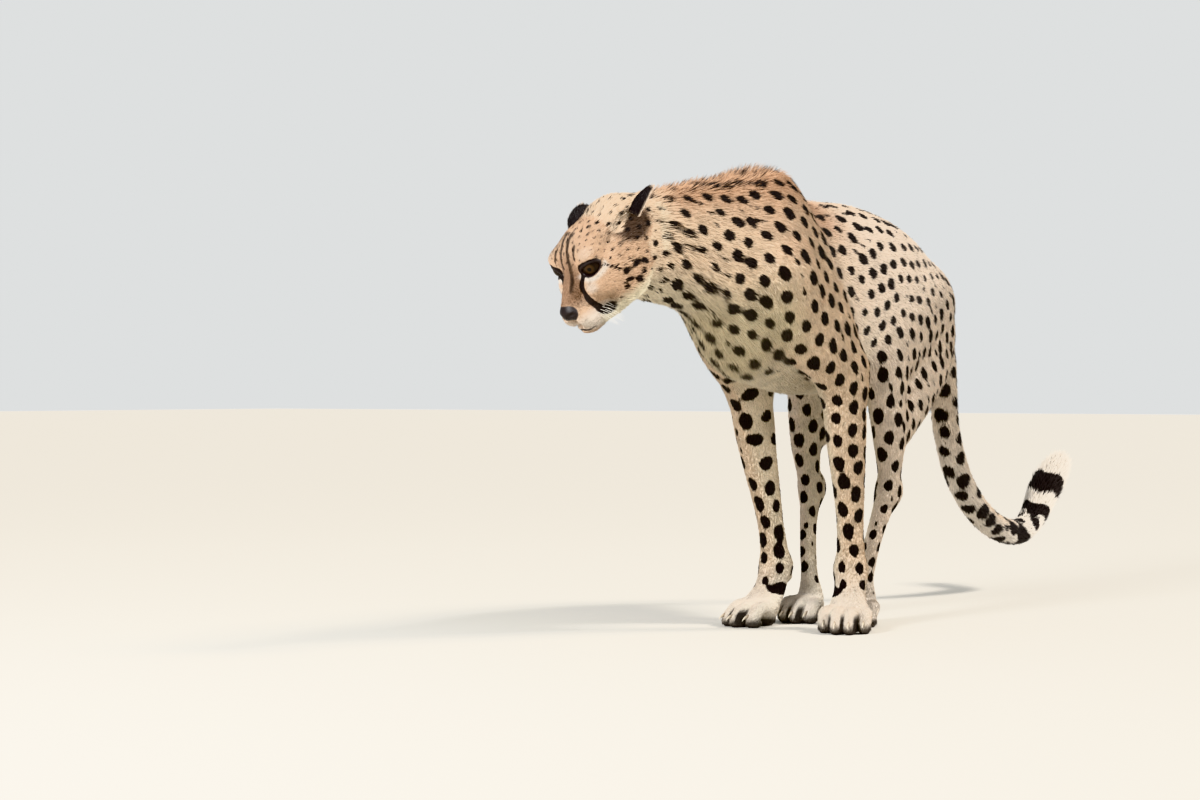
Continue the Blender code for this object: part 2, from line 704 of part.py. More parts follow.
def make_claw(name, root, forward, length, paw):
    """A short hooked claw, a bent cone whose point stays off the floor."""
    sideways = np.cross(forward, (0.0, 0.0, 1.0))
    turns = 4
    sides = 5
    vertices = []
    for step in range(turns):
        t = step / (turns - 1)
        centre = root + forward * length * math.sin(1.25 * t)
        centre = centre - np.array((0.0, 0.0, 1.0)) * length * 0.95 * (1.0 - math.cos(1.25 * t))
        radius = length * (0.21 - 0.19 * t)
        for turn in range(sides):
            angle = 2.0 * math.pi * turn / sides
            lift = np.array((0.0, 0.0, 1.3)) * math.sin(angle)
            vertices.append(centre + radius * (0.8 * sideways * math.cos(angle) + lift))
    faces = [tuple(range(sides)), tuple(reversed(range((turns - 1) * sides, turns * sides)))]
    for step in range(turns - 1):
        for turn in range(sides):
            corner = step * sides + turn
            following = step * sides + (turn + 1) % sides
            faces.append((corner, corner + sides, following + sides, following))
    claw = mesh_object(name, vertices, faces)
    shape = bmesh.new()
    shape.from_mesh(claw.data)
    bmesh.ops.recalc_face_normals(shape, faces=list(shape.faces))
    shape.to_mesh(claw.data)
    shape.free()
    boolean(claw, paw, "DIFFERENCE")
    keep_largest(claw)
    claw.data.transform(Matrix.Translation(Vector(forward) * GAP))
    return claw


def make_claws(side, fore_paw, hind_paw):
    sign = 1.0 if side == "left" else -1.0
    claws = []
    fore_place = (WRIST_SPREAD + 0.020 * math.sin(FOREPAW_TURN[side]),
                  -0.020 * math.cos(FOREPAW_TURN[side]))
    plans = (("fore", fore_paw, fore_place, FOREPAW_TURN[side], FOREPAW_WIDTH),
             ("hind", hind_paw, HINDPAW_PLACE, HINDPAW_TURN, HINDPAW_WIDTH))
    for limb, paw, place, turn, width in plans:
        forward, outward = paw_directions(turn, sign)
        base = np.array((place[0] * sign, place[1], 0.0))
        for number, (sideways, reach, radius) in enumerate(toe_plan(width), start=1):
            root = base + outward * sideways + forward * (reach + radius * 0.55)
            root = root + np.array((0.0, 0.0, 0.0175))
            name = "claw_%s_%s_%d" % (limb, side, number)
            claws.append(make_claw(name, root, forward, 0.013, paw))
    return claws


# --------------------------------------------------------------- materials
COLOURS = {
    "coat": (0.76, 0.58, 0.40), "ear": (0.10, 0.07, 0.07),
    "eye": (0.20, 0.11, 0.04), "claw": (0.55, 0.50, 0.40),
}
ROUGHNESS = {"coat": 0.8, "ear": 0.8, "eye": 0.1, "claw": 0.4}


def finish(piece):
    """Give a piece its own material and shade it smooth."""
    kind = piece.name.split("_")[0]
    kind = kind if kind in COLOURS else "coat"
    material = bpy.data.materials.new(piece.name + "_finish")
    material.use_nodes = True
    shader = material.node_tree.nodes["Principled BSDF"]
    shader.inputs["Base Color"].default_value = (*COLOURS[kind], 1.0)
    shader.inputs["Roughness"].default_value = ROUGHNESS[kind]
    shader.inputs["Metallic"].default_value = 0.0
    piece.data.materials.clear()
    piece.data.materials.append(material)
    piece.data.shade_smooth()


def bounds_of(pieces):
    corners = np.array([tuple(v.co) for piece in pieces for v in piece.data.vertices])
    return corners.min(axis=0), corners.max(axis=0)


def build():
    forms = animal_forms()
    low = np.min([form["low"] for form in forms], axis=0) - 0.02
    high = np.max([form["high"] for form in forms], axis=0) + 0.02
    body = region_object("body", forms, low, high, BODY_STEP, BODY_FACES)
    head = region_object("head_form", forms, low, (high[0], -0.435, high[2]), HEAD_STEP, HEAD_FACES)
    paws = region_object("paws_form", forms, (low[0], -0.16, low[2]),
                         (high[0], 0.16, WRIST_CUT + 0.02), PAWS_STEP, PAWS_FACES)
    pieces = part_body(body, head, paws)
    named = {piece.name: piece for piece in pieces}
    for side in ("left", "right"):
        pieces.append(make_eye(side, named["head"]))
    for side in ("left", "right"):
        pieces.append(make_ear(side, named["head"]))
        pieces += make_claws(side, named["forepaw_" + side], named["hindpaw_" + side])
    low, high = bounds_of(pieces)
    middle = Vector(((low[0] + high[0]) / 2.0, (low[1] + high[1]) / 2.0, 0.0))
    for piece in pieces:
        piece.data.transform(Matrix.Translation(-middle))
        finish(piece)


build()
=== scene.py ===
import math

import bmesh
import bpy
import numpy as np
from mathutils import Matrix, Vector


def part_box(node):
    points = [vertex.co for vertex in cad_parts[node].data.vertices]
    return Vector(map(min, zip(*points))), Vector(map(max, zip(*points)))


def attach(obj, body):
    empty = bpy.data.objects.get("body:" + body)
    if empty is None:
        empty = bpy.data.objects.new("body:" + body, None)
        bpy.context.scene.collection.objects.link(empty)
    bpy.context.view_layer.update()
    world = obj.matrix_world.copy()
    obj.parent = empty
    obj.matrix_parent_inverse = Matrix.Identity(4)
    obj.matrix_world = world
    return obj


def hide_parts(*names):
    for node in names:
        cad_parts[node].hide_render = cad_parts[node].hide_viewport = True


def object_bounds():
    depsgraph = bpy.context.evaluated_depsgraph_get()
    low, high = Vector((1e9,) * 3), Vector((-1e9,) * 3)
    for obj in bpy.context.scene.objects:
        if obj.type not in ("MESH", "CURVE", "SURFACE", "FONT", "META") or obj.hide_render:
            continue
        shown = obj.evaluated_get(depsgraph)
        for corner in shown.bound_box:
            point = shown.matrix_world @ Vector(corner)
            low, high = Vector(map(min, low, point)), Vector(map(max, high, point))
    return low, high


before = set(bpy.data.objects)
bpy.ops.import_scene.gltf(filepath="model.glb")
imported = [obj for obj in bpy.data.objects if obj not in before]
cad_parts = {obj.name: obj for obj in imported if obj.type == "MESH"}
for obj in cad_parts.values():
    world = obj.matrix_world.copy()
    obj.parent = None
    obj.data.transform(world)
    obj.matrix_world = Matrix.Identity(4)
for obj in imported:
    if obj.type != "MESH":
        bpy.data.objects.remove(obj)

cad_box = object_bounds()

# ============================================================ the body's shape
# Skin and muscle over the skeleton: round limbs, a deep chest, an arched back.
# It is one smooth form, blended from tubes along the bones and balls for the
# muscles, each drawn in by the depth of the coat that grows on it.
# y = 0 lies under the wrists, x = 0 is the midline; metres throughout.
HEAD_CENTRE = np.array((-0.046, -0.500, 0.637))  # midway between the ear bases
HEAD_YAW = math.radians(18.5)                    # turned to the animal's right
HEAD_PITCH = math.radians(40.0)                  # nose down
EYE_PLACE = (0.0960, 0.0345, -0.0245)            # forward, left, up in the head
EYE_TURN = math.radians(34.0)                    # the orbits face outwards
EYE_RADIUS = 0.0154
WRIST_SPREAD, WRIST_HEIGHT = 0.069, 0.095
FOREPAW_TURN = {"left": math.radians(20.0), "right": math.radians(25.0)}
FOREPAW_WIDTH = 0.088
HINDPAW_TURN = math.radians(6.0)
HINDPAW_WIDTH = 0.076
HINDPAW_PLACE = (0.049, 0.078)

# How the coat grows in each region: hair length, its depth over the skin, its
# lift off the skin (slope), width of a tuft, spot radius, spot spacing, stretch.
COAT = {
    "trunk": (0.0120, 0.0040, 0.22, 0.0021, 0.0112, 0.0345, 1.12),
    "withers": (0.0240, 0.0060, 0.42, 0.0026, 0.0105, 0.0315, 1.20),
    "neck": (0.0135, 0.0042, 0.24, 0.0022, 0.0108, 0.0325, 1.14),
    "chest": (0.0160, 0.0050, 0.30, 0.0023, 0.0120, 0.0350, 1.10),
    "rump": (0.0110, 0.0036, 0.20, 0.0020, 0.0086, 0.0280, 1.12),
    "shoulder": (0.0105, 0.0036, 0.20, 0.0020, 0.0118, 0.0350, 1.10),
    "upper_arm": (0.0105, 0.0034, 0.20, 0.0020, 0.0124, 0.0355, 1.12),
    "forearm": (0.0085, 0.0026, 0.18, 0.0018, 0.0116, 0.0325, 1.18),
    "thigh": (0.0110, 0.0036, 0.20, 0.0020, 0.0106, 0.0315, 1.15),
    "shank": (0.0090, 0.0028, 0.18, 0.0018, 0.0114, 0.0330, 1.18),
    "cannon": (0.0070, 0.0020, 0.18, 0.0016, 0.0088, 0.0280, 1.15),
    "paw": (0.0060, 0.0016, 0.20, 0.0014, 0.0, 0.0500, 1.0),
    "tail": (0.0145, 0.0048, 0.24, 0.0022, 0.0118, 0.0325, 1.10),
    "skull": (0.0062, 0.0018, 0.20, 0.0012, 0.0029, 0.0112, 1.0),
    "cheek": (0.0100, 0.0030, 0.26, 0.0014, 0.0034, 0.0165, 1.3),
    "muzzle": (0.0042, 0.0010, 0.16, 0.0010, 0.0, 0.0500, 1.0),
    "lips": (0.0030, 0.0004, 0.16, 0.0009, 0.0, 0.0500, 1.0),
    "nose": (0.0030, 0.0, 0.10, 0.0009, 0.0, 0.0500, 1.0),
}

TRUNK = (
    (0.000, -0.270, 0.563, 0.062, 0.093),
    (0.000, -0.200, 0.540, 0.082, 0.131),
    (0.000, -0.120, 0.526, 0.094, 0.148),
    (0.000, -0.030, 0.526, 0.101, 0.154),
    (0.000, 0.060, 0.536, 0.106, 0.149),
    (0.000, 0.150, 0.546, 0.104, 0.127),
    (0.000, 0.230, 0.546, 0.092, 0.098),
    (0.000, 0.300, 0.522, 0.077, 0.076),
    (0.000, 0.355, 0.488, 0.058, 0.060),
    (0.000, 0.395, 0.458, 0.040, 0.040),
)
NECK = (
    (0.000, -0.225, 0.575, 0.078, 0.116),
    (-0.006, -0.300, 0.588, 0.067, 0.106),
    (-0.018, -0.375, 0.590, 0.060, 0.090),
    (-0.032, -0.435, 0.590, 0.057, 0.080),
    (-0.044, -0.485, 0.598, 0.055, 0.066),
)
TAIL = (
    (0.000, 0.395, 0.490, 0.040, 0.040),
    (0.000, 0.440, 0.440, 0.032, 0.034),
    (0.000, 0.459, 0.380, 0.027, 0.028),
    (0.000, 0.471, 0.312, 0.026, 0.026),
    (0.000, 0.512, 0.233, 0.026, 0.026),
    (0.000, 0.585, 0.168, 0.026, 0.026),
    (0.000, 0.673, 0.127, 0.026, 0.026),
    (0.000, 0.765, 0.113, 0.026, 0.026),
    (0.000, 0.830, 0.135, 0.027, 0.027),
    (0.000, 0.886, 0.187, 0.031, 0.032),
    (0.000, 0.943, 0.228, 0.026, 0.027),
    (0.000, 0.964, 0.243, 0.014, 0.015),
)
# Limb tubes of the left side; the right side mirrors them.
SHOULDER_BLADE = (
    (0.034, -0.165, 0.668, 0.020, 0.042),
    (0.054, -0.182, 0.615, 0.034, 0.060),
    (0.074, -0.208, 0.548, 0.036, 0.056),
)
UPPER_ARM = (
    (0.076, -0.206, 0.545, 0.035, 0.050),
    (0.082, -0.150, 0.480, 0.037, 0.064),
    (0.087, -0.085, 0.420, 0.034, 0.052),
    (0.087, -0.055, 0.395, 0.033, 0.044),
)
TRICEPS = (
    (0.062, -0.140, 0.590, 0.028, 0.044),
    (0.080, -0.100, 0.505, 0.030, 0.042),
    (0.088, -0.040, 0.430, 0.024, 0.030),
)
FOREARM = (
    (0.087, -0.058, 0.400, 0.033, 0.042),
    (0.084, -0.045, 0.330, 0.033, 0.039),
    (0.081, -0.033, 0.270, 0.029, 0.033),
    (0.077, -0.020, 0.215, 0.025, 0.027),
    (0.073, -0.009, 0.158, 0.023, 0.021),
    (WRIST_SPREAD, 0.000, WRIST_HEIGHT, 0.026, 0.023),
)
THIGH = (
    (0.044, 0.298, 0.524, 0.043, 0.060),
    (0.055, 0.222, 0.488, 0.043, 0.072),
    (0.064, 0.150, 0.445, 0.038, 0.060),
    (0.068, 0.108, 0.412, 0.034, 0.044),
)
HAMSTRING = (
    (0.041, 0.343, 0.466, 0.035, 0.042),
    (0.053, 0.288, 0.418, 0.037, 0.050),
    (0.066, 0.215, 0.370, 0.032, 0.046),
    (0.074, 0.152, 0.318, 0.024, 0.032),
)
SHANK = (
    (0.070, 0.108, 0.408, 0.032, 0.040),
    (0.075, 0.110, 0.360, 0.030, 0.042),
    (0.078, 0.112, 0.297, 0.025, 0.034),
    (0.076, 0.116, 0.245, 0.019, 0.026),
    (0.072, 0.120, 0.215, 0.018, 0.027),
)
HIND_CANNON = (
    (0.072, 0.120, 0.215, 0.018, 0.026),
    (0.066, 0.100, 0.170, 0.014, 0.020),
    (0.059, 0.086, 0.125, 0.013, 0.018),
    (0.052, 0.078, 0.075, 0.014, 0.018),
    (0.049, 0.078, 0.042, 0.022, 0.020),
)
BACKWARDS, DOWNWARDS = (0.0, 1.0, -0.25), (0.0, 0.15, -1.0)


def curve_through(stations, pieces=5):
    """Points and radii along a smooth curve through the stations."""
    knots = np.array(stations, float)
    padded = np.vstack((2 * knots[0] - knots[1], knots, 2 * knots[-1] - knots[-2]))
    samples = []
    for start in range(len(knots) - 1):
        p0, p1, p2, p3 = padded[start:start + 4]
        for t in np.arange(pieces) / pieces:
            samples.append(0.5 * (2 * p1 + (p2 - p0) * t
                                  + (2 * p0 - 5 * p1 + 4 * p2 - p3) * t ** 2
                                  + (3 * p1 - p0 - 3 * p2 + p3) * t ** 3))
    samples.append(knots[-1])
    return np.array(samples)


def ellipse_distance(across, along, half_width, half_depth):
    """Distance from an ellipse, near enough for blending."""
    scaled = np.sqrt((across / half_width) ** 2 + (along / half_depth) ** 2)
    slope = np.sqrt((across / half_width ** 2) ** 2 + (along / half_depth ** 2) ** 2)
    return scaled * (scaled - 1.0) / np.maximum(slope, 1e-6)


def tube(coat, part, stations, blend, side=(1.0, 0.0, 0.0), egg=0.0, lie=1.0, add=True):
    """A tube with elliptic sections; lie is its hair's way along it, or a direction."""
    path = curve_through(stations)
    side = np.array(side, float)
    runs = np.diff(path[:, :3], axis=0)
    ways = runs / np.linalg.norm(runs, axis=1)[:, None]

    def distance(points, with_lie=False):
        nearest = np.full(len(points), 9.0)
        closest = np.zeros(len(points), int)
        for index, (start, end) in enumerate(zip(path[:-1], path[1:])):
            run = end[:3] - start[:3]
            away = points - start[:3]
            t = np.clip(away @ run / (run @ run), 0.0, 1.0)
            offset = away - t[:, None] * run
            half_width = start[3] + t * (end[3] - start[3])
            half_depth = start[4] + t * (end[4] - start[4])
            if egg:
                height = np.clip(offset[:, 2] / half_depth, -1.0, 1.0)
                half_width = half_width * (1.0 + egg * height)
            across = offset @ side
            square = np.maximum(np.einsum("ij,ij->i", offset, offset) - across ** 2, 0.0)
            value = ellipse_distance(across, np.sqrt(square), half_width, half_depth)
            if with_lie:
                closest[value < nearest] = index
            nearest = np.minimum(nearest, value)
        if not with_lie:
            return nearest
        if isinstance(lie, tuple):
            return nearest, np.tile(lie, (len(points), 1))
        return nearest, ways[closest] * lie

    reach = path[:, 3:5].max(axis=1)[:, None]
    return {"distance": distance, "blend": blend, "add": add, "coat": coat, "part": part,
            "low": (path[:, :3] - reach).min(axis=0), "high": (path[:, :3] + reach).max(axis=0)}


def ball(coat, part, centre, radii, blend, axes=None, lie=BACKWARDS, add=True):
    """An ellipsoid; axes holds its own three directions as rows."""
    centre = np.array(centre, float)
    radii = np.array(radii, float)
    turn = np.eye(3) if axes is None else np.array(axes, float)

    def distance(points, with_lie=False):
        local = (points - centre) @ turn.T
        scaled = np.sqrt(((local / radii) ** 2).sum(axis=1))
        slope = np.sqrt(((local / radii ** 2) ** 2).sum(axis=1))
        value = scaled * (scaled - 1.0) / np.maximum(slope, 1e-6)
        return (value, np.tile(lie, (len(points), 1))) if with_lie else value

    reach = radii.max()
    return {"distance": distance, "blend": blend, "add": add, "coat": coat, "part": part,
            "low": centre - reach, "high": centre + reach}


def mirrored(stations):
    return tuple((-x, y, z, width, depth) for x, y, z, width, depth in stations)


def smooth_min(first, second, blend):
    overlap = np.maximum(blend - np.abs(first - second), 0.0) / blend
    return np.minimum(first, second) - overlap ** 2 * blend / 4.0


def near_form(form, points, margin):
    return np.all((points > form["low"] - margin) & (points < form["high"] + margin), axis=1)


def blended_distance(forms, points):
    """Signed distance of the skin at every point."""
    total = np.full(len(points), 1.0)
    for form in forms:
        near = near_form(form, points, form["blend"] + 0.03)
        if not near.any():
            continue
        value = form["distance"](points[near])
        if form["add"]:
            value = value + COAT[form["coat"]][1]
            total[near] = smooth_min(total[near], value, form["blend"])
        else:
            total[near] = -smooth_min(-total[near], value, form["blend"])
    return total


def head_axes():
    forward = np.array((-math.sin(HEAD_YAW) * math.cos(HEAD_PITCH),
                        -math.cos(HEAD_YAW) * math.cos(HEAD_PITCH),
                        -math.sin(HEAD_PITCH)))
    left = np.array((math.cos(HEAD_YAW), -math.sin(HEAD_YAW), 0.0))
    return np.array((forward, left, np.cross(forward, left)))


HEAD_AXES = head_axes()


def in_head(forward, left, up):
    """Place of a point given in the head's own directions."""
    return HEAD_CENTRE + np.array((forward, left, up)) @ HEAD_AXES


def head_ball(coat, place, radii, blend, lie=(-1.0, 0.0, 0.0), add=True):
    way = tuple(np.array(lie) @ HEAD_AXES)
    return ball(coat, "head", in_head(*place), radii, blend, HEAD_AXES, way, add)


def head_tube(coat, stations, blend, lie=(-1.0, 0.0, 0.0), add=True):
    placed = [(*in_head(*station[:3]), *station[3:]) for station in stations]
    way = tuple(np.array(lie) @ HEAD_AXES)
    return tube(coat, "head", placed, blend, HEAD_AXES[1], 0.0, way, add)


def eye_axes(sign):
    """Outward, upward and looking directions of an eye."""
    looking = np.array((math.cos(EYE_TURN), math.sin(EYE_TURN) * sign, 0.04))
    looking = looking / np.linalg.norm(looking)
    outward = np.array((-math.sin(EYE_TURN), math.cos(EYE_TURN) * sign, 0.10))
    outward = outward - looking * (outward @ looking)
    outward = outward / np.linalg.norm(outward)
    return np.array((outward, np.cross(looking, outward) * sign, looking)) @ HEAD_AXES


def eye_forms(sign):
    """The lids: a thin bulge round the eyeball with an almond opening in front."""
    forward, left, up = EYE_PLACE
    centre = in_head(forward, left * sign, up)
    axes = eye_axes(sign)
    way = tuple(np.array((-1.0, 0.5 * sign, 0.3)) @ HEAD_AXES)
    lids = ball("muzzle", "head", centre, (EYE_RADIUS + 0.0032,) * 3, 0.008, None, way)
    opening = ball("muzzle", "head", centre + axes[2] * 0.0215 - axes[1] * 0.0018,
                   (0.0166, 0.0088, 0.0240), 0.0022, axes, way, add=False)
    corner = tube("muzzle", "head", [(*(centre + axes[2] * 0.015 - axes[0] * 0.012), 0.003, 0.003),
                                     (*(centre + axes[2] * 0.010 - axes[0] * 0.0205 - axes[1] * 0.003),
                                      0.0018, 0.0018)], 0.003, axes[1], add=False)
    return [lids, opening, corner]


def head_forms():
    """Skull, brow, muzzle, cheeks and jaw, given forward, left and up."""
    forms = [
        head_ball("skull", (0.014, 0.0, -0.032), (0.056, 0.054, 0.046), 0.018),
        head_ball("skull", (0.065, 0.0, -0.016), (0.047, 0.044, 0.038), 0.016),
        head_tube("muzzle", ((0.085, 0.0, -0.026, 0.022, 0.022),
                             (0.113, 0.0, -0.040, 0.017, 0.018),
                             (0.142, 0.0, -0.061, 0.015, 0.014)), 0.016),
        head_ball("nose", (0.150, 0.0, -0.066), (0.0115, 0.0160, 0.0105), 0.006),
        head_ball("lips", (0.129, 0.0, -0.101), (0.019, 0.017, 0.012), 0.012),
    ]
    for sign in (1.0, -1.0):
        forms += [
            head_ball("cheek", (0.054, 0.040 * sign, -0.048), (0.044, 0.024, 0.034), 0.022,
                      (-1.0, 0.1 * sign, -0.25)),
            head_ball("cheek", (0.056, 0.036 * sign, -0.076), (0.044, 0.022, 0.026), 0.018,
                      (-1.0, 0.1 * sign, -0.45)),
            head_ball("lips", (0.129, 0.016 * sign, -0.080), (0.025, 0.0185, 0.020), 0.010,
                      (-1.0, 0.2 * sign, -0.45)),
            head_ball("skull", (0.090, 0.033 * sign, -0.007), (0.021, 0.019, 0.011), 0.016),
            head_ball("muzzle", (0.098, 0.031 * sign, -0.054), (0.026, 0.019, 0.024), 0.016,
                      (-1.0, 0.1 * sign, -0.25)),
            head_tube("cheek", ((0.124, 0.006 * sign, -0.098, 0.013, 0.011),
                                (0.098, 0.024 * sign, -0.097, 0.016, 0.015),
                                (0.055, 0.034 * sign, -0.088, 0.020, 0.022)), 0.016,
                      (-1.0, 0.0, -0.35)),
        ]
        forms += eye_forms(sign)
        forms += [
            # Nostril, then the line between the lips.
            head_tube("nose", ((0.1610, 0.0052 * sign, -0.0700, 0.0022, 0.0022),
                               (0.1595, 0.0088 * sign, -0.0672, 0.0026, 0.0026),
                               (0.1550, 0.0140 * sign, -0.0668, 0.0016, 0.0016)), 0.0025, add=False),
            head_tube("lips", ((0.1490, 0.0000, -0.0905, 0.0014, 0.0014),
                               (0.1450, 0.0120 * sign, -0.0945, 0.0014, 0.0014),
                               (0.1290, 0.0285 * sign, -0.0960, 0.0014, 0.0014),
                               (0.1080, 0.0385 * sign, -0.0900, 0.0018, 0.0018)), 0.0035, add=False),
        ]
    forms.append(head_tube("nose", ((0.1600, 0.0, -0.0745, 0.0010, 0.0010),
                                    (0.1520, 0.0, -0.0890, 0.0010, 0.0010)), 0.0030, add=False))
    return forms


def paw_directions(turn, sign):
    """Forward and outward directions of a paw turned out by an angle."""
    forward = np.array((sign * math.sin(turn), -math.cos(turn), 0.0))
    outward = np.array((sign * math.cos(turn), math.sin(turn), 0.0))
    return forward, outward


def toe_plan(width):
    """Sideways place, reach and radius of the four toes, outer toe last."""
    scale = width / FOREPAW_WIDTH
    return [(-0.0310 * scale, 0.046 * scale, 0.0120), (-0.0108 * scale, 0.063 * scale, 0.0128),
            (0.0108 * scale, 0.063 * scale, 0.0128), (0.0310 * scale, 0.044 * scale, 0.0120)]


def paw_forms(part, place, turn, sign, width):
    """Toes, toe pads and the main pad of one paw, standing on the floor."""
    forward, outward = paw_directions(turn, sign)
    base = np.array((place[0] * sign, place[1], 0.0))
    up = np.array((0.0, 0.0, 1.0))
    axes = (outward, forward, up)
    scale = width / FOREPAW_WIDTH
    way = tuple(forward - up * 0.4)
    forms = [
        ball("paw", part, base + forward * 0.016 + up * 0.022,
             (0.034 * scale, 0.030, 0.022), 0.014, axes, way),
        ball("paw", part, base + forward * 0.006 + up * 0.008,
             (0.024 * scale, 0.020, 0.013), 0.008, axes, way),
    ]
    for sideways, reach, radius in toe_plan(width):
        root = base + outward * sideways * 0.8 + forward * 0.012 + up * 0.030
        knuckle = base + outward * sideways + forward * reach * 0.72 + up * 0.029
        tip = base + outward * sideways + forward * reach + up * 0.014
        stations = [(*root, radius, radius * 1.05), (*knuckle, radius, radius),
                    (*tip, radius * 0.95, radius)]
        forms.append(tube("paw", part, stations, 0.006, outward))
        pad = base + outward * sideways + forward * (reach - 0.002) + up * 0.007
        forms.append(ball("paw", part, pad, (radius * 0.9, radius * 1.25, 0.011), 0.004, axes, way))
    return forms


def forepaw_place(side):
    return (WRIST_SPREAD + 0.020 * math.sin(FOREPAW_TURN[side]),
            -0.020 * math.cos(FOREPAW_TURN[side]))


def limb_forms(side):
    sign = 1.0 if side == "left" else -1.0
    own = (lambda stations: stations) if side == "left" else mirrored
    fore, hind = "foreleg_" + side, "hindleg_" + side
    forward, _ = paw_directions(FOREPAW_TURN[side], sign)
    wrist = np.array((sign * WRIST_SPREAD, 0.0, WRIST_HEIGHT))
    palm = wrist + forward * 0.012 - np.array((0.0, 0.0, 0.036))
    knuckles = wrist + forward * 0.026 - np.array((0.0, 0.0, 0.058))
    fore_cannon = ((*wrist, 0.026, 0.023), (*palm, 0.028, 0.021), (*knuckles, 0.034, 0.019))
    carpal_pad = wrist - forward * 0.020 - np.array((0.0, 0.0, 0.016))
    forms = [
        tube("shoulder", fore, own(SHOULDER_BLADE), 0.045, lie=(0.0, 0.7, -1.0)),
        tube("upper_arm", fore, own(UPPER_ARM), 0.030, lie=(0.0, 0.6, -1.0)),
        tube("upper_arm", fore, own(TRICEPS), 0.020, lie=(0.0, 0.6, -1.0)),
        ball("forearm", fore, (sign * 0.089, -0.024, 0.412), (0.019, 0.019, 0.024), 0.016,
             lie=DOWNWARDS),
        tube("forearm", fore, own(FOREARM), 0.024),
        tube("cannon", fore, fore_cannon, 0.016),
        ball("cannon", fore, carpal_pad, (0.011, 0.010, 0.012), 0.008, lie=DOWNWARDS),
        tube("thigh", hind, own(THIGH), 0.040, lie=(0.0, 0.5, -1.0)),
        tube("thigh", hind, own(HAMSTRING), 0.026, lie=(0.0, 0.3, -1.0)),
        tube("shank", hind, own(SHANK), 0.024),
        ball("shank", hind, (sign * 0.072, 0.140, 0.222), (0.012, 0.013, 0.022), 0.012,
             lie=DOWNWARDS),
        tube("cannon", hind, own(HIND_CANNON), 0.014),
    ]
    forms += paw_forms(fore, forepaw_place(side), FOREPAW_TURN[side], sign, FOREPAW_WIDTH)
    forms += paw_forms(hind, HINDPAW_PLACE, HINDPAW_TURN, sign, HINDPAW_WIDTH)
    return forms


def animal_forms():
    forms = [
        tube("trunk", "trunk", TRUNK, 0.04, egg=0.10, lie=BACKWARDS),
        tube("neck", "neck", NECK, 0.03, lie=(0.05, 1.0, -0.35)),
        ball("withers", "trunk", (0.0, -0.185, 0.662), (0.044, 0.092, 0.046), 0.050),
        ball("chest", "trunk", (0.0, -0.215, 0.485), (0.066, 0.058, 0.076), 0.050,
             lie=(0.0, 0.35, -1.0)),
        ball("rump", "trunk", (0.0, 0.305, 0.522), (0.058, 0.088, 0.064), 0.040,
             lie=(0.0, 1.0, -0.7)),
        tube("tail", "tail", TAIL, 0.030),
    ]
    forms += head_forms()
    for side in ("left", "right"):
        forms += limb_forms(side)
    return forms


forms = animal_forms()

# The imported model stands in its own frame; the left eye tells where that is.
eye_low, eye_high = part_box("eye_left")
STAND = np.array((eye_low + eye_high) / 2.0) - in_head(*EYE_PLACE)

# ============================================================== the skin's mesh
# One closed hide from the nose to the tip of the tail, finest on the face.
# The form is sampled on a grid, closely only near its surface, and the cells
# that the surface crosses become the mesh; the body is then thinned out.
GRID_STEP = 0.0026
SKIN_TRIANGLES = 128000
COARSE = 8                   # cells of the finest grid along a first, coarse one
FACE_FROM, FACE_BELOW = 0.072, 0.022   # forward and up in the head, where the mesh is finest
HEAD_BEHIND = -0.44          # y; the head lies before it
FACE_BEHIND = -0.03          # forward in the head; the face's mesh is never thinned before it
FEET_TOP, TOES_TOP = 0.075, 0.035
PINCH_FILL = 1e-5
EVENING = 0.00013            # unevenness that keeps the thinned body's triangles alike


def sampled_field(low, shape, step):
    """Distance at the centres of a grid's cells, exact only near the surface."""
    size = step * COARSE
    coarse_shape = tuple(count // COARSE for count in shape)
    cells = np.stack(np.meshgrid(*[np.arange(n) for n in coarse_shape], indexing="ij"), axis=-1)
    centres = low + (cells.reshape(-1, 3) + 0.5) * size
    field = blended_distance(forms, centres).reshape(coarse_shape).astype(np.float32)
    for split in (4, 2):
        near = np.abs(field) < size * 1.15
        for axis in range(3):
            field = np.repeat(field, split, axis=axis)
            near = np.repeat(near, split, axis=axis)
        size = size / split
        field[near] = blended_distance(forms, low + (np.argwhere(near) + 0.5) * size)
    return field


def surface_of(field, low, step):
    """Vertices and quads of the surface where the field is zero."""
    shape = field.shape
    cells, places, quads = [], [], []
    for axis in range(3):
        first = np.take(field, range(shape[axis] - 1), axis=axis)
        second = np.take(field, range(1, shape[axis]), axis=axis)
        crossing = np.argwhere((first < 0.0) != (second < 0.0))
        a = first[tuple(crossing.T)]
        b = second[tuple(crossing.T)]
        place = crossing.astype(float)
        place[:, axis] += a / (a - b)
        one, two = [other for other in range(3) if other != axis]
        around = []
        for back_one, back_two in ((0, 0), (1, 0), (1, 1), (0, 1)):
            cell = crossing.copy()
            cell[:, one] -= back_one
            cell[:, two] -= back_two
            around.append(np.ravel_multi_index(cell.T, shape))
            cells.append(around[-1])
            places.append(place)
        ring = np.stack(around, axis=1)
        flip = (a < 0.0) if axis == 1 else (a >= 0.0)
        ring[flip] = ring[flip][:, ::-1]
        quads.append(ring)
    used, index = np.unique(np.concatenate(cells), return_inverse=True)
    places = np.concatenate(places)
    count = np.bincount(index)
    vertices = np.stack([np.bincount(index, places[:, axis]) / count for axis in range(3)], axis=1)
    faces = np.searchsorted(used, np.concatenate(quads))
    return np.array(low) + (vertices + 0.5) * step, faces


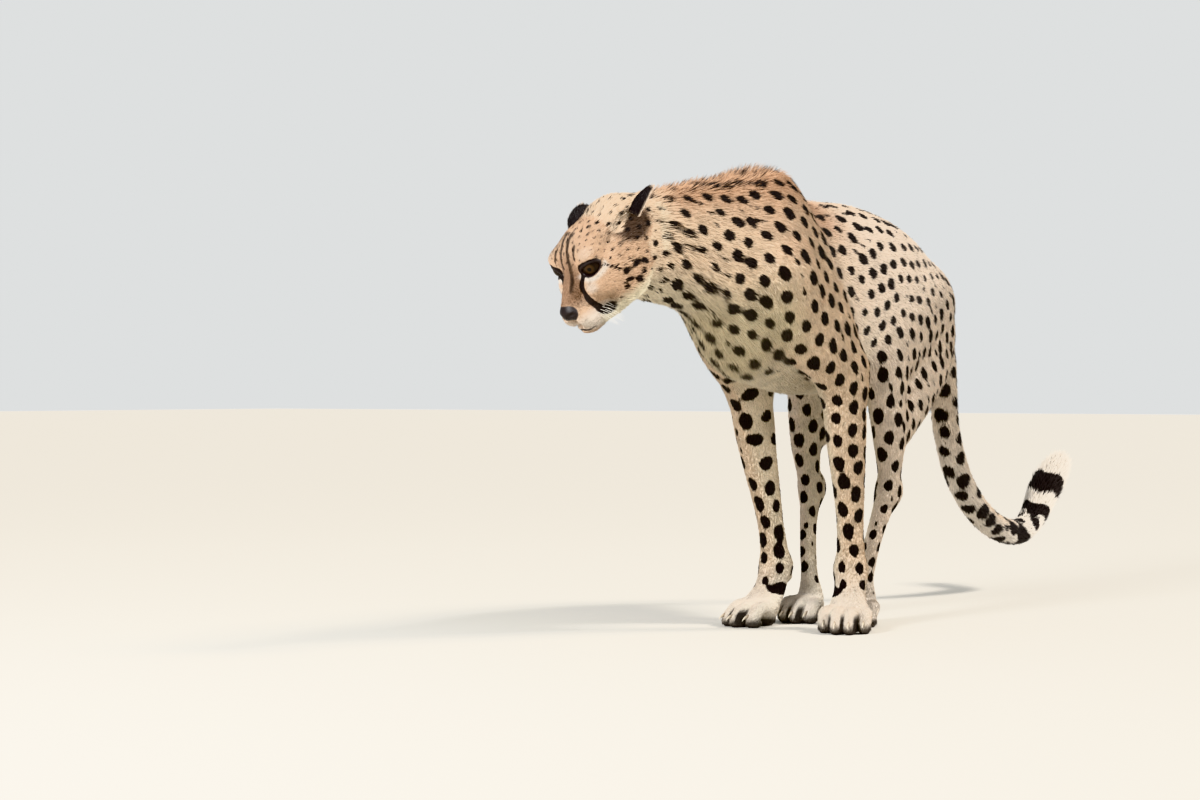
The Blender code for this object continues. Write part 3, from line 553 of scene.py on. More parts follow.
def fill_pinches(field):
    """Fill cells that would leave two sheets of the skin touching along an edge."""
    for _ in range(3):
        for one, two in ((0, 1), (0, 2), (1, 2)):
            turned = np.moveaxis(field, (one, two), (0, 1))
            a, b = turned[:-1, :-1], turned[1:, :-1]
            c, d = turned[1:, 1:], turned[:-1, 1:]
            b[(a < 0.0) & (c < 0.0) & (b >= 0.0) & (d >= 0.0)] = -PINCH_FILL
            a[(b < 0.0) & (d < 0.0) & (a >= 0.0) & (c >= 0.0)] = -PINCH_FILL


def settled(points, rounds, limit):
    """The points moved onto the skin's exact surface."""
    for _ in range(rounds):
        value = blended_distance(forms, points)
        slope = np.stack([blended_distance(forms, points + offset)
                          - blended_distance(forms, points - offset)
                          for offset in np.eye(3) * 0.0004], axis=1) / 0.0008
        length = np.maximum(np.linalg.norm(slope, axis=1), 0.3)[:, None]
        points = points - np.clip(value[:, None] / length, -limit, limit) * slope / length
    return points


def mesh_object(name, vertices, faces):
    mesh = bpy.data.meshes.new(name)
    mesh.from_pydata(vertices, [], faces)
    mesh.update()
    made = bpy.data.objects.new(name, mesh)
    bpy.context.collection.objects.link(made)
    return made


def facing_outward(piece):
    """The piece with every face's normal turned outward."""
    shape = bmesh.new()
    shape.from_mesh(piece.data)
    bmesh.ops.recalc_face_normals(shape, faces=list(shape.faces))
    shape.to_mesh(piece.data)
    shape.free()
    return piece


def apply_modifiers(target):
    """Keep the evaluated shape as the object's own mesh."""
    graph = bpy.context.evaluated_depsgraph_get()
    shaped = bpy.data.meshes.new_from_object(target.evaluated_get(graph),
                                             preserve_all_data_layers=True, depsgraph=graph)
    target.modifiers.clear()
    target.data = shaped


def points_of(mesh):
    flat = np.empty(len(mesh.vertices) * 3, np.float32)
    mesh.vertices.foreach_get("co", flat)
    return flat.reshape(-1, 3).astype(float)


def head_place(points):
    """Forward, left and up in the head's own directions."""
    return (points - HEAD_CENTRE) @ HEAD_AXES.T


def make_skin():
    low = np.min([form["low"] for form in forms], axis=0) - 0.010
    high = np.max([form["high"] for form in forms], axis=0) + 0.010
    shape = tuple(int(math.ceil((high[axis] - low[axis]) / GRID_STEP / COARSE)) * COARSE
                  for axis in range(3))
    field = sampled_field(low, shape, GRID_STEP)
    below = (low[2] + (np.arange(shape[2]) + 0.5) * GRID_STEP) < 0.0
    field[:, :, below] = np.abs(field[:, :, below]) + 1e-4
    fill_pinches(field[:, :, :int((TOES_TOP - low[2]) / GRID_STEP)])
    fill_pinches(field[:, :int((HEAD_BEHIND - low[1]) / GRID_STEP), :])
    skin = mesh_object("skin", *surface_of(field, low, GRID_STEP))
    points = points_of(skin.data)
    in_front = head_place(points)
    kept = (points[:, 1] < HEAD_BEHIND) & (in_front[:, 0] > FACE_BEHIND) | (points[:, 2] < FEET_TOP)
    uneven = np.random.default_rng(5).normal(0.0, EVENING, points.shape)
    points[~kept] += uneven[~kept]
    skin.data.vertices.foreach_set("co", points.astype(np.float32).ravel())
    body = skin.vertex_groups.new(name="body")
    body.add([int(index) for index in np.flatnonzero(~kept)], 1.0, "REPLACE")
    thin = skin.modifiers.new("thin", "DECIMATE")
    thin.ratio = min(1.0, SKIN_TRIANGLES / (2.0 * len(skin.data.polygons)))
    thin.vertex_group = "body"
    thin.vertex_group_factor = 1.0
    apply_modifiers(skin)
    skin.vertex_groups.clear()
    shape_mesh = bmesh.new()
    shape_mesh.from_mesh(skin.data)
    in_front = head_place(points_of(skin.data))
    fine = (in_front[:, 0] > FACE_FROM) & (in_front[:, 2] < FACE_BELOW)
    edges = [edge for edge in shape_mesh.edges if all(fine[v.index] for v in edge.verts)]
    bmesh.ops.subdivide_edges(shape_mesh, edges=edges, cuts=1, use_grid_fill=True)
    shape_mesh.to_mesh(skin.data)
    shape_mesh.free()
    points = points_of(skin.data)
    head = points[:, 1] < HEAD_BEHIND + 0.01
    body = ~head & (points[:, 2] > FEET_TOP)
    points[head] = settled(points[head], 2, 0.0012)
    points[body] = settled(points[body], 1, 0.0010)
    skin.data.vertices.foreach_set("co", points.astype(np.float32).ravel())
    skin.data.update()
    return skin


skin = make_skin()


# ==================================================================== the ears
# Small round ears of gristle under thin skin, laid back and open to the side.
# Each is a cupped shell whose root is sunk in the head; it joins the skin.
EAR_PLACE = {"left": (-0.004, 0.067, -0.004), "right": (0.014, 0.066, -0.010)}
EAR_LENGTH, EAR_WIDTH = 0.0345, 0.045
EAR_ROOT_THICKNESS, EAR_RIM_THICKNESS = 0.0032, 0.0016
EAR_COAT = 0.0008            # the shell lies this far inside the ear's outer face
EAR_SUNK = 0.012
EAR_ROWS, EAR_COLUMNS = 30, 32


def ear_axes(sign):
    """Tip, across and opening directions of an ear that is laid back."""
    tip = np.array((-0.80, 0.32 * sign, 0.50))
    opening = np.array((-0.35, 0.40 * sign, -0.85))
    tip = tip / np.linalg.norm(tip)
    opening = opening - tip * (opening @ tip)
    opening = opening / np.linalg.norm(opening)
    return np.array((tip, np.cross(opening, tip), opening)) @ HEAD_AXES


def ear_shell(side):
    """Vertices, quads, and for each vertex: inside or back, height, nearness to the rim."""
    sign = 1.0 if side == "left" else -1.0
    forward, left, up = EAR_PLACE[side]
    tip, across, opening = ear_axes(sign)
    root = in_head(forward, left * sign, up) - tip * EAR_SUNK
    vertices, inside, height, rim = [], [], [], []
    for inner in (False, True):
        for row in range(EAR_ROWS):
            t = row / (EAR_ROWS - 1)
            breadth = math.sqrt(1.0 - (max(t - 0.40, 0.0) / 0.615) ** 2) * min(0.80 + 0.5 * t, 1.0)
            half_width = EAR_WIDTH / 2.0 * breadth
            curl = math.radians(80.0 - 30.0 * t)
            radius = half_width / math.sin(curl) - EAR_COAT
            thickness = EAR_ROOT_THICKNESS + (EAR_RIM_THICKNESS - EAR_ROOT_THICKNESS) * t
            line = root + tip * (EAR_LENGTH + EAR_SUNK - EAR_COAT) * t
            for turn in np.linspace(-1.0, 1.0, EAR_COLUMNS):
                own_radius = radius - thickness * (1.0 - turn ** 8) if inner else radius
                angle = curl * turn
                depth = own_radius * math.cos(angle) - radius * math.cos(curl)
                vertices.append(line + across * own_radius * math.sin(angle) - opening * depth)
                inside.append(float(inner))
                height.append(t)
                rim.append(max(abs(turn) ** 3, t ** 5))
    faces = []
    back = EAR_ROWS * EAR_COLUMNS
    for row in range(EAR_ROWS - 1):
        for column in range(EAR_COLUMNS - 1):
            corner = row * EAR_COLUMNS + column
            ring = (corner, corner + 1, corner + EAR_COLUMNS + 1, corner + EAR_COLUMNS)
            faces.append(ring)
            faces.append(tuple(back + index for index in reversed(ring)))
    border = list(range(EAR_COLUMNS))
    border += [row * EAR_COLUMNS + EAR_COLUMNS - 1 for row in range(1, EAR_ROWS)]
    border += [(EAR_ROWS - 1) * EAR_COLUMNS + column for column in range(EAR_COLUMNS - 2, -1, -1)]
    border += [row * EAR_COLUMNS for row in range(EAR_ROWS - 2, 0, -1)]
    for start, end in zip(border, border[1:] + border[:1]):
        faces.append((end, start, back + start, back + end))
    shell = facing_outward(mesh_object("ear", np.array(vertices), faces))
    return shell, np.array(inside), np.array(height), np.array(rim), tip


def join_into(target, others):
    with bpy.context.temp_override(active_object=target, object=target,
                                   selected_editable_objects=[target] + others):
        bpy.ops.object.join()


hide_count = len(skin.data.vertices)
ear_notes = []
ear_shells = []
for side in ("left", "right"):
    shell, *notes = ear_shell(side)
    ear_notes.append(notes)
    ear_shells.append(shell)
join_into(skin, ear_shells)
skin.data.shade_smooth()

# ================================================== how the coat grows and shows
# Every point of the skin knows its region's hair, the way it lies, the ground
# colour and how deep in a spot it is.  Spots are scattered by chance but keep
# their distance, large first, then small ones in the gaps between them.
SEED = 11
REGION_SPREAD = 0.010        # how softly one region passes into the next
points = points_of(skin.data)
count = len(points)
hide = np.arange(count) < hide_count
head = head_place(points)


def smoothstep(low, high, value):
    t = np.clip((value - low) / (high - low), 0.0, 1.0)
    return t * t * (3.0 - 2.0 * t)


def mixed(first, second, share):
    return first + (second - first) * np.asarray(share)[:, None]


def skin_regions(where):
    """Blended growth of the coat, its lie, and the nearest form's part at each point."""
    added = [form for form in forms if form["add"]]
    nearest = np.full(len(where), 9.0)
    own_part = np.zeros(len(where), int)
    measured = []
    for form in added:
        near = np.flatnonzero(near_form(form, where, 0.03))
        value, lie = form["distance"](where[near], with_lie=True)
        value = value + COAT[form["coat"]][1]
        closer = value < nearest[near]
        own_part[near[closer]] = PARTS.index(form["part"])
        nearest[near] = np.minimum(nearest[near], value)
        measured.append((near, value, lie, form["coat"]))
    total = np.zeros(len(where))
    growth = np.zeros((len(where), len(COAT["trunk"])))
    way = np.zeros((len(where), 3))
    for near, value, lie, coat in measured:
        weight = np.exp(-(value - nearest[near]) / REGION_SPREAD)
        total[near] += weight
        growth[near] += weight[:, None] * COAT[coat]
        way[near] += weight[:, None] * lie
    return growth / total[:, None], way / total[:, None], own_part


PARTS = ("head", "neck", "trunk", "foreleg_left", "foreleg_right",
         "hindleg_left", "hindleg_right", "tail")
HEAD_PART, NECK_PART, TRUNK_PART, FORE_LEFT, FORE_RIGHT, HIND_LEFT, HIND_RIGHT, TAIL_PART = range(8)
growth, way, part = skin_regions(points)
hair, _, lift, tuft_width, spot_radius, spot_gap, spot_stretch = growth.T.copy()

normals = np.empty(count * 3, np.float32)
skin.data.vertex_normals.foreach_get("vector", normals)
normals = normals.reshape(-1, 3).astype(float)

# The crest of longer hair down the nape to the shoulders.
x, y, z = points.T
nape = smoothstep(-0.475, -0.40, y) * (1.0 - smoothstep(-0.09, 0.02, y))
midline = np.interp(y, (-0.485, -0.435, -0.375, -0.300, -0.225), (-0.044, -0.032, -0.018, -0.006, 0.0))
crest = nape * smoothstep(0.25, 0.85, normals[:, 2]) \
    * (1.0 - smoothstep(0.020, 0.052, np.abs(x - midline)))
crest[~hide] = 0.0
hair += 0.010 * crest
lift += 0.24 * crest
# Brush of the tail, fringe of the belly, ruff behind the cheek.
brush = (part == TAIL_PART) * smoothstep(0.80, 0.93, y)
hair += 0.009 * brush
lift += 0.12 * brush
belly = smoothstep(0.3, 0.9, -normals[:, 2]) * (part == TRUNK_PART)
hair += 0.004 * belly
ruff = smoothstep(-0.005, -0.035, head[:, 0]) * smoothstep(-0.085, -0.060, head[:, 0]) \
    * smoothstep(-0.01, -0.04, head[:, 2]) * hide * (part <= NECK_PART)
hair += 0.006 * ruff
lift += 0.14 * ruff

# Ears: short hair on the back, towards the tip; long pale hair within.
start = hide_count
ear_inside = np.zeros(count)
ear_rim = np.zeros(count)
for inside, height, rim, tip in ear_notes:
    own = slice(start, start + len(inside))
    start += len(inside)
    ear_inside[own] = inside
    ear_rim[own] = rim
    way[own] = tip
    part[own] = HEAD_PART
    hair[own] = 0.0050 + 0.0030 * rim + 0.0030 * inside * (1.0 - height)
    lift[own] = 0.22 + 0.20 * inside
    tuft_width[own] = 0.0011
    spot_radius[own] = 0.0

# The hair lies along the skin.
way -= normals * np.einsum("ij,ij->i", way, normals)[:, None]
way /= np.maximum(np.linalg.norm(way, axis=1), 1e-6)[:, None]

# ----------------------------------------------------------------------- spots
# Solid, near-black spots: the hairs that grow there are dark to the root.  Large
# ones are packed side by side over the hide first, then small ones between them.
BIG, SMALL = (0.78, 1.02), (0.36, 0.52)      # share of the region's spot radius
BIG_SPACING, SMALL_SPACING = 0.89, 0.60      # share of the region's spacing
CLEAR_ROUND_BIG = 0.66                       # no small spot within this share of it


def within(index, reach):
    """Indices of the points nearer to this one than a reach."""
    px, py, pz = points[index]
    square = (x - px) ** 2 + (y - py) ** 2 + (z - pz) ** 2
    return np.flatnonzero(square < reach * reach)


def scattered(chance, reach, free):
    """Indices of points a share of the spacing apart, packed side by side like the spots."""
    urge = np.where(free, chance.uniform(0.0, 0.5, count), -1.0)
    crowding = np.zeros(count)
    luck = chance.uniform(0.75, 1.25, count)
    chosen = []
    while True:
        index = int(np.argmax(urge))
        if urge[index] < 0.0:
            return chosen
        chosen.append(index)
        gap = reach * spot_gap[index]
        ring = within(index, 1.5 * gap)
        away = np.linalg.norm(points[ring] - points[index], axis=1) / gap
        crowding[ring] += np.maximum(1.5 - away, 0.0)
        open_ring = ring[urge[ring] >= 0.0]
        urge[open_ring] = 0.5 + crowding[open_ring] * luck[open_ring]
        urge[ring[away < 1.0]] = -1.0


# Spots shrink towards the rump, and none grow where a part is pale or bare.
rumpward = smoothstep(0.02, 0.30, y) * (part == TRUNK_PART)
spot_radius *= 1.0 - 0.22 * rumpward
spot_gap *= 1.0 - 0.20 * rumpward
under = smoothstep(0.55, 0.95, -normals[:, 2]) * (part == TRUNK_PART) * smoothstep(-0.26, -0.16, y)
# On the head they are small dots in close rows, a little larger towards the neck.
crown = hide & (head[:, 0] > -0.035) & (np.linalg.norm(head, axis=1) < 0.16) & (y < HEAD_BEHIND)
dot = np.interp(head[:, 0], (-0.03, 0.02, 0.08), (0.0062, 0.0048, 0.0035)) \
    * (1.0 + 0.35 * smoothstep(-0.02, -0.06, head[:, 2]))
spot_radius *= 1.0 + 0.04 * crest
spot_gap *= 1.0 - 0.05 * crest
spot_stretch *= 1.0 - 0.22 * crest
# On the tail they stand apart, and grow bold towards its rings.
tail_end = (part == TAIL_PART) * smoothstep(0.40, 0.52, y)
spot_radius *= 1.0 + 0.10 * (part == TAIL_PART) + 0.32 * tail_end
spot_gap *= 1.0 + 0.12 * tail_end
spot_gap *= 1.0 + 0.08 * (part == TAIL_PART)
spot_stretch *= 1.0 - 0.18 * (part == TAIL_PART)
# High on the inner forelegs they are broad, lying across the leg.
foreleg = (part == FORE_LEFT) | (part == FORE_RIGHT)
inner_arm = smoothstep(0.1, 0.6, -normals[:, 0] * np.sign(x)) * foreleg \
    * smoothstep(0.20, 0.28, z) * smoothstep(0.46, 0.40, z)
spot_radius *= 1.0 + 0.38 * inner_arm
spot_gap *= 1.0 + 0.45 * inner_arm
spot_stretch *= 1.0 - 0.38 * inner_arm
spot_radius = np.where(crown, np.minimum(spot_radius, dot), spot_radius)
spot_gap = np.where(crown, np.minimum(spot_gap, 3.2 * dot + 0.0010), spot_gap)
spot_stretch = np.where(crown, np.minimum(spot_stretch, 0.95), spot_stretch)
# A row of larger dots runs back from the corner of each eye: forward, up, radius.
CHEEK_DOTS = ((0.0698, -0.0576, 0.0058), (0.0510, -0.0590, 0.0064), (0.0724, -0.0700, 0.0042),
              (0.0790, -0.0780, 0.0044), (0.0578, -0.0810, 0.0060), (0.0440, -0.0770, 0.0054),
              (0.0340, -0.0680, 0.0060))
cheek = np.full(count, -1.0)
for forward_place, up_place, radius in CHEEK_DOTS:
    away = np.hypot(head[:, 0] - forward_place, head[:, 2] - up_place)
    cheek = np.maximum(cheek, 1.0 - away / radius)
cheek[~hide | (part != HEAD_PART) | (np.abs(head[:, 1]) < 0.030)] = -1.0
allowed = hide & (spot_radius > 0.0012) & (under < 0.4) & (cheek < -0.45)
chance = np.random.default_rng(SEED)
big = scattered(chance, BIG_SPACING, allowed)
for index in big:
    allowed[within(index, CLEAR_ROUND_BIG * spot_gap[index])] = False
small = scattered(chance, SMALL_SPACING, allowed)

spot = np.full(count, -1.0)


def paint_spot(index, share):
    """One spot: a rounded blot, drawn out along the hair, with an uneven edge."""
    radius = spot_radius[index] * share
    stretch = spot_stretch[index] * chance.uniform(0.92, 1.06)
    phase = chance.uniform(0.0, 2.0 * math.pi, 3)
    near = within(index, radius * 2.6)
    away = points[near] - points[index]
    along = away @ way[index]
    across = away @ np.cross(normals[index], way[index])
    deep = away @ normals[index]
    turn = np.arctan2(across, along)
    edge = 1.0 + 0.05 * np.sin(2 * turn + phase[0]) + 0.05 * np.sin(3 * turn + phase[1]) \
        + 0.03 * np.sin(5 * turn + phase[2])
    size = np.sqrt((along / stretch) ** 2 + (across * math.sqrt(stretch)) ** 2 + deep ** 2)
    value = 1.0 - size / (radius * edge)
    facing = normals[near] @ normals[index] > -0.2
    spot[near] = np.where(facing, np.maximum(spot[near], value), spot[near])


for index in big:
    paint_spot(index, chance.uniform(*BIG))
for index in small:
    paint_spot(index, chance.uniform(*SMALL))

# ------------------------------------------------------------ marks of the face
# Black tear lines from the eyes to the lips, dark lid rims, fine lines on the
# brow, a dark smudge below each ear; then the tail's rings.
def line_value(where, stops, half_width):
    """1 along a line through the stops, 0 at its edge and below 0 beyond."""
    line = curve_through([(*stop, 0.0, 0.0) for stop in stops], 4)[:, :3]
    nearest = np.full(len(where), 9.0)
    for start, end in zip(line[:-1], line[1:]):
        run = end - start
        away = where - start
        t = np.clip(away @ run / (run @ run), 0.0, 1.0)
        nearest = np.minimum(nearest, np.linalg.norm(away - t[:, None] * run, axis=1))
    return 1.0 - nearest / half_width


def blot_value(where, centre, radii):
    return 1.0 - np.linalg.norm((where - np.array(centre)) / np.array(radii), axis=1)


TEAR_LINE = ((0.1130, 0.0262, -0.0280), (0.1200, 0.0205, -0.0440), (0.1245, 0.0225, -0.0545),
             (0.1275, 0.0300, -0.0670), (0.1250, 0.0340, -0.0790), (0.1190, 0.0335, -0.0920))
LID_LINE = ((0.0900, 0.0510, -0.0290), (0.0830, 0.0545, -0.0400), (0.0770, 0.0575, -0.0500))
BROW_LINE = ((0.0950, 0.0190, 0.0080), (0.1040, 0.0220, 0.0000), (0.1100, 0.0235, -0.0080))
FOREHEAD_LINE = ((0.0780, 0.0060, 0.0180), (0.0980, 0.0065, 0.0080), (0.1120, 0.0085, -0.0120),
                 (0.1220, 0.0100, -0.0300), (0.1340, 0.0090, -0.0430))
RUFF_LINE = ((-0.052, 0.030, -0.010), (-0.047, 0.036, -0.037), (-0.024, 0.048, -0.058),
             (-0.012, 0.047, -0.078))
MOUTH_LINE = ((0.1490, 0.0000, -0.0990), (0.1440, 0.0120, -0.1030), (0.1300, 0.0270, -0.1010),
              (0.1080, 0.0370, -0.0960))
face_side = head.copy()
face_side[:, 1] = np.abs(head[:, 1])
on_head = hide & (part == HEAD_PART)

eye_centre = np.array(EYE_PLACE)
eye_turned = eye_axes(1.0) @ HEAD_AXES.T
from_eye = (face_side - eye_centre) @ eye_turned.T
lid = 1.0 - np.sqrt(((from_eye[:, 0] + 0.0015) / 0.0192) ** 2 + ((from_eye[:, 1] - 0.0008) / 0.0124) ** 2)
lid[(from_eye[:, 2] < 0.0) | (np.linalg.norm(from_eye, axis=1) > 0.030)] = -1.0
marks = np.maximum(lid * 1.6, line_value(face_side, TEAR_LINE, 0.0050))
marks = np.maximum(marks, line_value(face_side, LID_LINE, 0.0022))
brow = np.maximum(line_value(face_side, BROW_LINE, 0.0022), line_value(face_side, FOREHEAD_LINE, 0.0030))
marks = np.maximum(marks, 0.42 * brow)
marks = np.maximum(marks, line_value(face_side, TEAR_LINE[4:] + ((0.1120, 0.0340, -0.0970),), 0.0065))
marks = np.maximum(marks, blot_value(face_side, (0.111, 0.034, -0.0960), (0.019, 0.014, 0.0130)))
marks = np.maximum(marks, line_value(face_side, MOUTH_LINE, 0.0030))
spot[on_head] = np.maximum(spot, np.maximum(marks, cheek))[on_head]
smudge = np.clip(blot_value(face_side, (0.012, 0.054, -0.018), (0.040, 0.028, 0.025)) * 3.6, 0.0, 1.0)

leather = blot_value(head, (0.1530, 0.0, -0.0665), (0.0125, 0.0215, 0.0135))
leather = np.maximum(leather, line_value(head, ((0.160, 0.0, -0.078), (0.150, 0.0, -0.096)), 0.0022))
bare = np.where(on_head, smoothstep(-0.05, 0.05, leather), 0.0)
mouth = smoothstep(-0.2, 0.3, line_value(face_side, MOUTH_LINE, 0.0022))
bare = np.maximum(bare, np.where(on_head, mouth, 0.0))
lid_rim = 1.0 - np.sqrt((from_eye[:, 0] / 0.0178) ** 2 + (from_eye[:, 1] / 0.0113) ** 2)
bare = np.maximum(bare, np.where(on_head & (lid > -1.0), smoothstep(-0.04, 0.04, lid_rim), 0.0))
pads = (z < 0.012) & (normals[:, 2] < -0.45) & hide
bare = np.maximum(bare, pads)

# Rings of the tail, by the distance travelled along it from its root.
tail_line = curve_through(TAIL)[:, :3]
tail_steps = np.concatenate(((0.0,), np.cumsum(np.linalg.norm(np.diff(tail_line, axis=0), axis=1))))
on_tail = np.flatnonzero(part == TAIL_PART)
nearest_stop = np.argmin(((points[on_tail][:, None] - tail_line[None]) ** 2).sum(axis=2), axis=1)
run = np.gradient(tail_line, axis=0)
run /= np.linalg.norm(run, axis=1)[:, None]
travelled = tail_steps[nearest_stop] + ((points[on_tail] - tail_line[nearest_stop])
                                        * run[nearest_stop]).sum(axis=1)
round_tail = np.arctan2(points[on_tail][:, 0], points[on_tail][:, 2] - tail_line[nearest_stop][:, 2])
ragged = 0.005 * np.sin(2.0 * round_tail + 1.0) + 0.003 * np.sin(3.0 * round_tail)
RINGS = ((0.557, 0.0070), (0.655, 0.0190), (0.724, 0.0300))   # middle and half width
for middle, half_width in RINGS:
    ring = 1.0 - np.abs(travelled + ragged - middle) / half_width
    spot[on_tail] = np.maximum(spot[on_tail], ring)
past_rings = travelled > 0.632
spot[on_tail[past_rings]] = np.where(
    np.min([np.abs(travelled + ragged - middle) / half_width for middle, half_width in RINGS],
           axis=0)[past_rings] < 1.0, spot[on_tail[past_rings]], -1.0)
tip_share = np.zeros(count)
tip_share[on_tail] = smoothstep(0.45, 0.60, travelled)

# -------------------------------------------------------------- ground colours
# Sandy tan above, paling to cream below, inside the limbs and on the feet.
def linear(colour):
    """A hex colour as the linear values that a shader mixes."""
    channels = [int(colour[index:index + 2], 16) / 255.0 for index in (1, 3, 5)]
    return np.array([c / 12.92 if c <= 0.04045 else ((c + 0.055) / 1.055) ** 2.4 for c in channels])


SAND, RUST, CREAM, WHITE = "#E3CCB2", "#AB7C5A", "#E9DDC6", "#F7F1E8"
RUMP_SAND, CHEST, FACE, BRIDGE = "#F2E3D3", "#D7C9AB", "#C5A78C", "#9A7B63"
THROAT, EAR_BLACK, EAR_RIM, GREY = "#DCD3BA", "#150A0C", "#D8C4B0", "#2C1D18"

ground = np.tile(linear(SAND), (count, 1))
down = -normals[:, 2]
inward = -normals[:, 0] * np.sign(x)
hindleg = (part == HIND_LEFT) | (part == HIND_RIGHT)
pale_side = smoothstep(-0.20, 0.06, y) * (part == TRUNK_PART) + hindleg
ground = mixed(ground, linear(RUMP_SAND), pale_side * (0.9 - 0.5 * smoothstep(0.6, 1.0, normals[:, 2])))
underside = smoothstep(0.15, 0.85, down) * ((part == TRUNK_PART) | (part == NECK_PART))
ground = mixed(ground, linear(CREAM), underside)
legs = (part >= FORE_LEFT) & (part <= HIND_RIGHT)
ground = mixed(ground, linear(CREAM), legs * smoothstep(0.0, 0.8, inward) * (z < 0.42) * 0.75)
ground = mixed(ground, linear(WHITE), legs * (1.0 - smoothstep(0.035, 0.13, z)) * 0.52)
chest_front = smoothstep(-0.16, -0.25, y) * smoothstep(0.58, 0.46, z) \
    * smoothstep(0.0, -0.6, normals[:, 1])
ground = mixed(ground, linear(CHEST), np.clip(chest_front * 1.2, 0.0, 1.0) * (part != HEAD_PART))
rusty = smoothstep(0.10, 0.75, normals[:, 2]) * nape * hide
ground = mixed(ground, linear(RUST), 0.68 * rusty * (z > 0.45))
ground = mixed(ground, linear(WHITE), tip_share * 0.85)
under_tail = (part == TAIL_PART) * smoothstep(-0.1, 0.7, down)
ground = mixed(ground, linear(WHITE), under_tail * 0.5)
tail_side = (part == TAIL_PART) * smoothstep(0.75, 0.0, normals[:, 2]) * smoothstep(0.38, 0.50, y)
ground = mixed(ground, linear(WHITE), tail_side * 0.55)

f, l, u = face_side.T
face = on_head * 1.0
ground = mixed(ground, linear(FACE), face)
ground = mixed(ground, linear(BRIDGE), face * smoothstep(0.098, 0.120, f) * smoothstep(0.030, 0.015, l)
               * smoothstep(-0.075, -0.050, u))
pale_muzzle = blot_value(face_side, (0.130, 0.022, -0.090), (0.040, 0.030, 0.022)) * 2.2
ground = mixed(ground, linear(WHITE), face * np.clip(pale_muzzle, 0.0, 1.0) * 0.68)
ground = mixed(ground, linear(THROAT), face * smoothstep(-0.078, -0.098, u) * smoothstep(0.135, 0.115, f))
oval = np.sqrt((from_eye[:, 0] / 0.0185) ** 2 + (from_eye[:, 1] / 0.0125) ** 2)
under_eye = smoothstep(0.95, 1.05, oval) * (1.0 - smoothstep(1.15, 1.75, oval)) \
    * smoothstep(-0.001, -0.006, from_eye[:, 1]) * (from_eye[:, 2] > 0.0)
pale_cheek = np.clip(blot_value(face_side, (0.112, 0.034, -0.050), (0.014, 0.012, 0.011)) * 2.5, 0.0, 1.0)
under_eye = np.maximum(under_eye, 0.7 * pale_cheek)
over_eye = np.clip(blot_value(face_side, (0.100, 0.040, -0.004), (0.016, 0.014, 0.009)) * 2.0, 0.0, 1.0)
ground = mixed(ground, linear(WHITE), face * np.maximum(under_eye * 0.75, over_eye * 0.15))
ground = mixed(ground, linear(GREY), face * smudge * 0.92)
ruff_line = np.clip(line_value(face_side, RUFF_LINE, 0.007) * 2.0, 0.0, 1.0) * hide
ground = mixed(ground, linear(CREAM), ruff_line * 0.8)
spot -= 0.4 * ruff_line
ear_black = (1.0 - ear_inside) * (1.0 - smoothstep(0.70, 1.0, ear_rim))
on_ear = ~hide
ground[on_ear] = mixed(mixed(np.tile(linear(EAR_RIM), (count, 1)), linear(FACE), 0.4 * ear_inside),
                       linear(EAR_BLACK), ear_black)[on_ear]
faded = np.clip(chest_front * 1.1, 0.0, 1.0) * 0.30
faded = np.maximum(faded, smoothstep(0.35, 0.8, down) * (part == TRUNK_PART) * 0.6)
faded = np.maximum(faded, 0.35 * rumpward)
faded = np.maximum(faded, (brow > 0.0) * on_head * 0.9)

# Spots run out on the throat and the feet.  The soles are black pads; the lower edges of the
# paws and the clefts between the toes are darkened to black as painted shade, and a tuft inside the wrist
# is dark; round the claws hair is short.
throat = face * smoothstep(-0.085, -0.105, u)
spot[hide] -= (0.9 * throat + 0.5 * (legs * (1.0 - smoothstep(0.040, 0.075, z))))[hide]
# Painted shade: leg surfaces that face down or sideways in the lowest 2 cm darken towards black.
painted_toe_shade = legs * smoothstep(0.45, -0.1, normals[:, 2]) * (1.0 - smoothstep(0.009, 0.020, z)) * 0.9
claw_nearness = np.zeros(count)
for side, sign in (("left", 1.0), ("right", -1.0)):
    for place, turn, width in ((forepaw_place(side), FOREPAW_TURN[side], FOREPAW_WIDTH),
                               (HINDPAW_PLACE, HINDPAW_TURN, HINDPAW_WIDTH)):
        forward, outward = paw_directions(turn, sign)
        local = points - np.array((place[0] * sign, place[1], 0.0))
        sideways, reached = local @ outward, local @ forward
        near_foot = (z < 0.05) & (np.linalg.norm(local[:, :2], axis=1) < 0.09)
        toes = toe_plan(width)
        for one, other in zip(toes[:-1], toes[1:]):
            between = (one[0] + other[0]) / 2.0
            # Painted shade in the cleft between two toes.
            groove = 1.0 - np.abs(sideways - between) / 0.0042
            groove = np.clip(groove * 2.0, 0.0, 1.0) * smoothstep(0.034, 0.024, z)
            painted_toe_shade = np.maximum(painted_toe_shade, near_foot * groove * smoothstep(0.030, 0.042, reached) * 0.95)
        for toe_side, reach, radius in toes:
            root = np.array((toe_side, reach + radius * 0.8, 0.018))
            away = np.linalg.norm(np.column_stack((sideways, reached, z)) - root, axis=1)
            claw_nearness = np.maximum(claw_nearness, near_foot * np.clip(1.6 - away / 0.006, 0.0, 1.0))
hair *= 1.0 - 0.5 * claw_nearness
tuft_width *= 1.0 - 0.3 * claw_nearness
# The painted shade of the paws is laid on in the black of the ears' backs.
ground = mixed(ground, linear(EAR_BLACK), painted_toe_shade)
wrist = np.column_stack((np.abs(x), y, z))
wrist_tuft = blot_value(wrist, (0.052, -0.014, 0.060), (0.026, 0.027, 0.0115)) * foreleg
spot = np.where((wrist_tuft > 0.0) & hide, np.maximum(spot, wrist_tuft * 1.5), spot)
LEATHER = "#150C0D"
ground = mixed(ground, linear(LEATHER), bare)

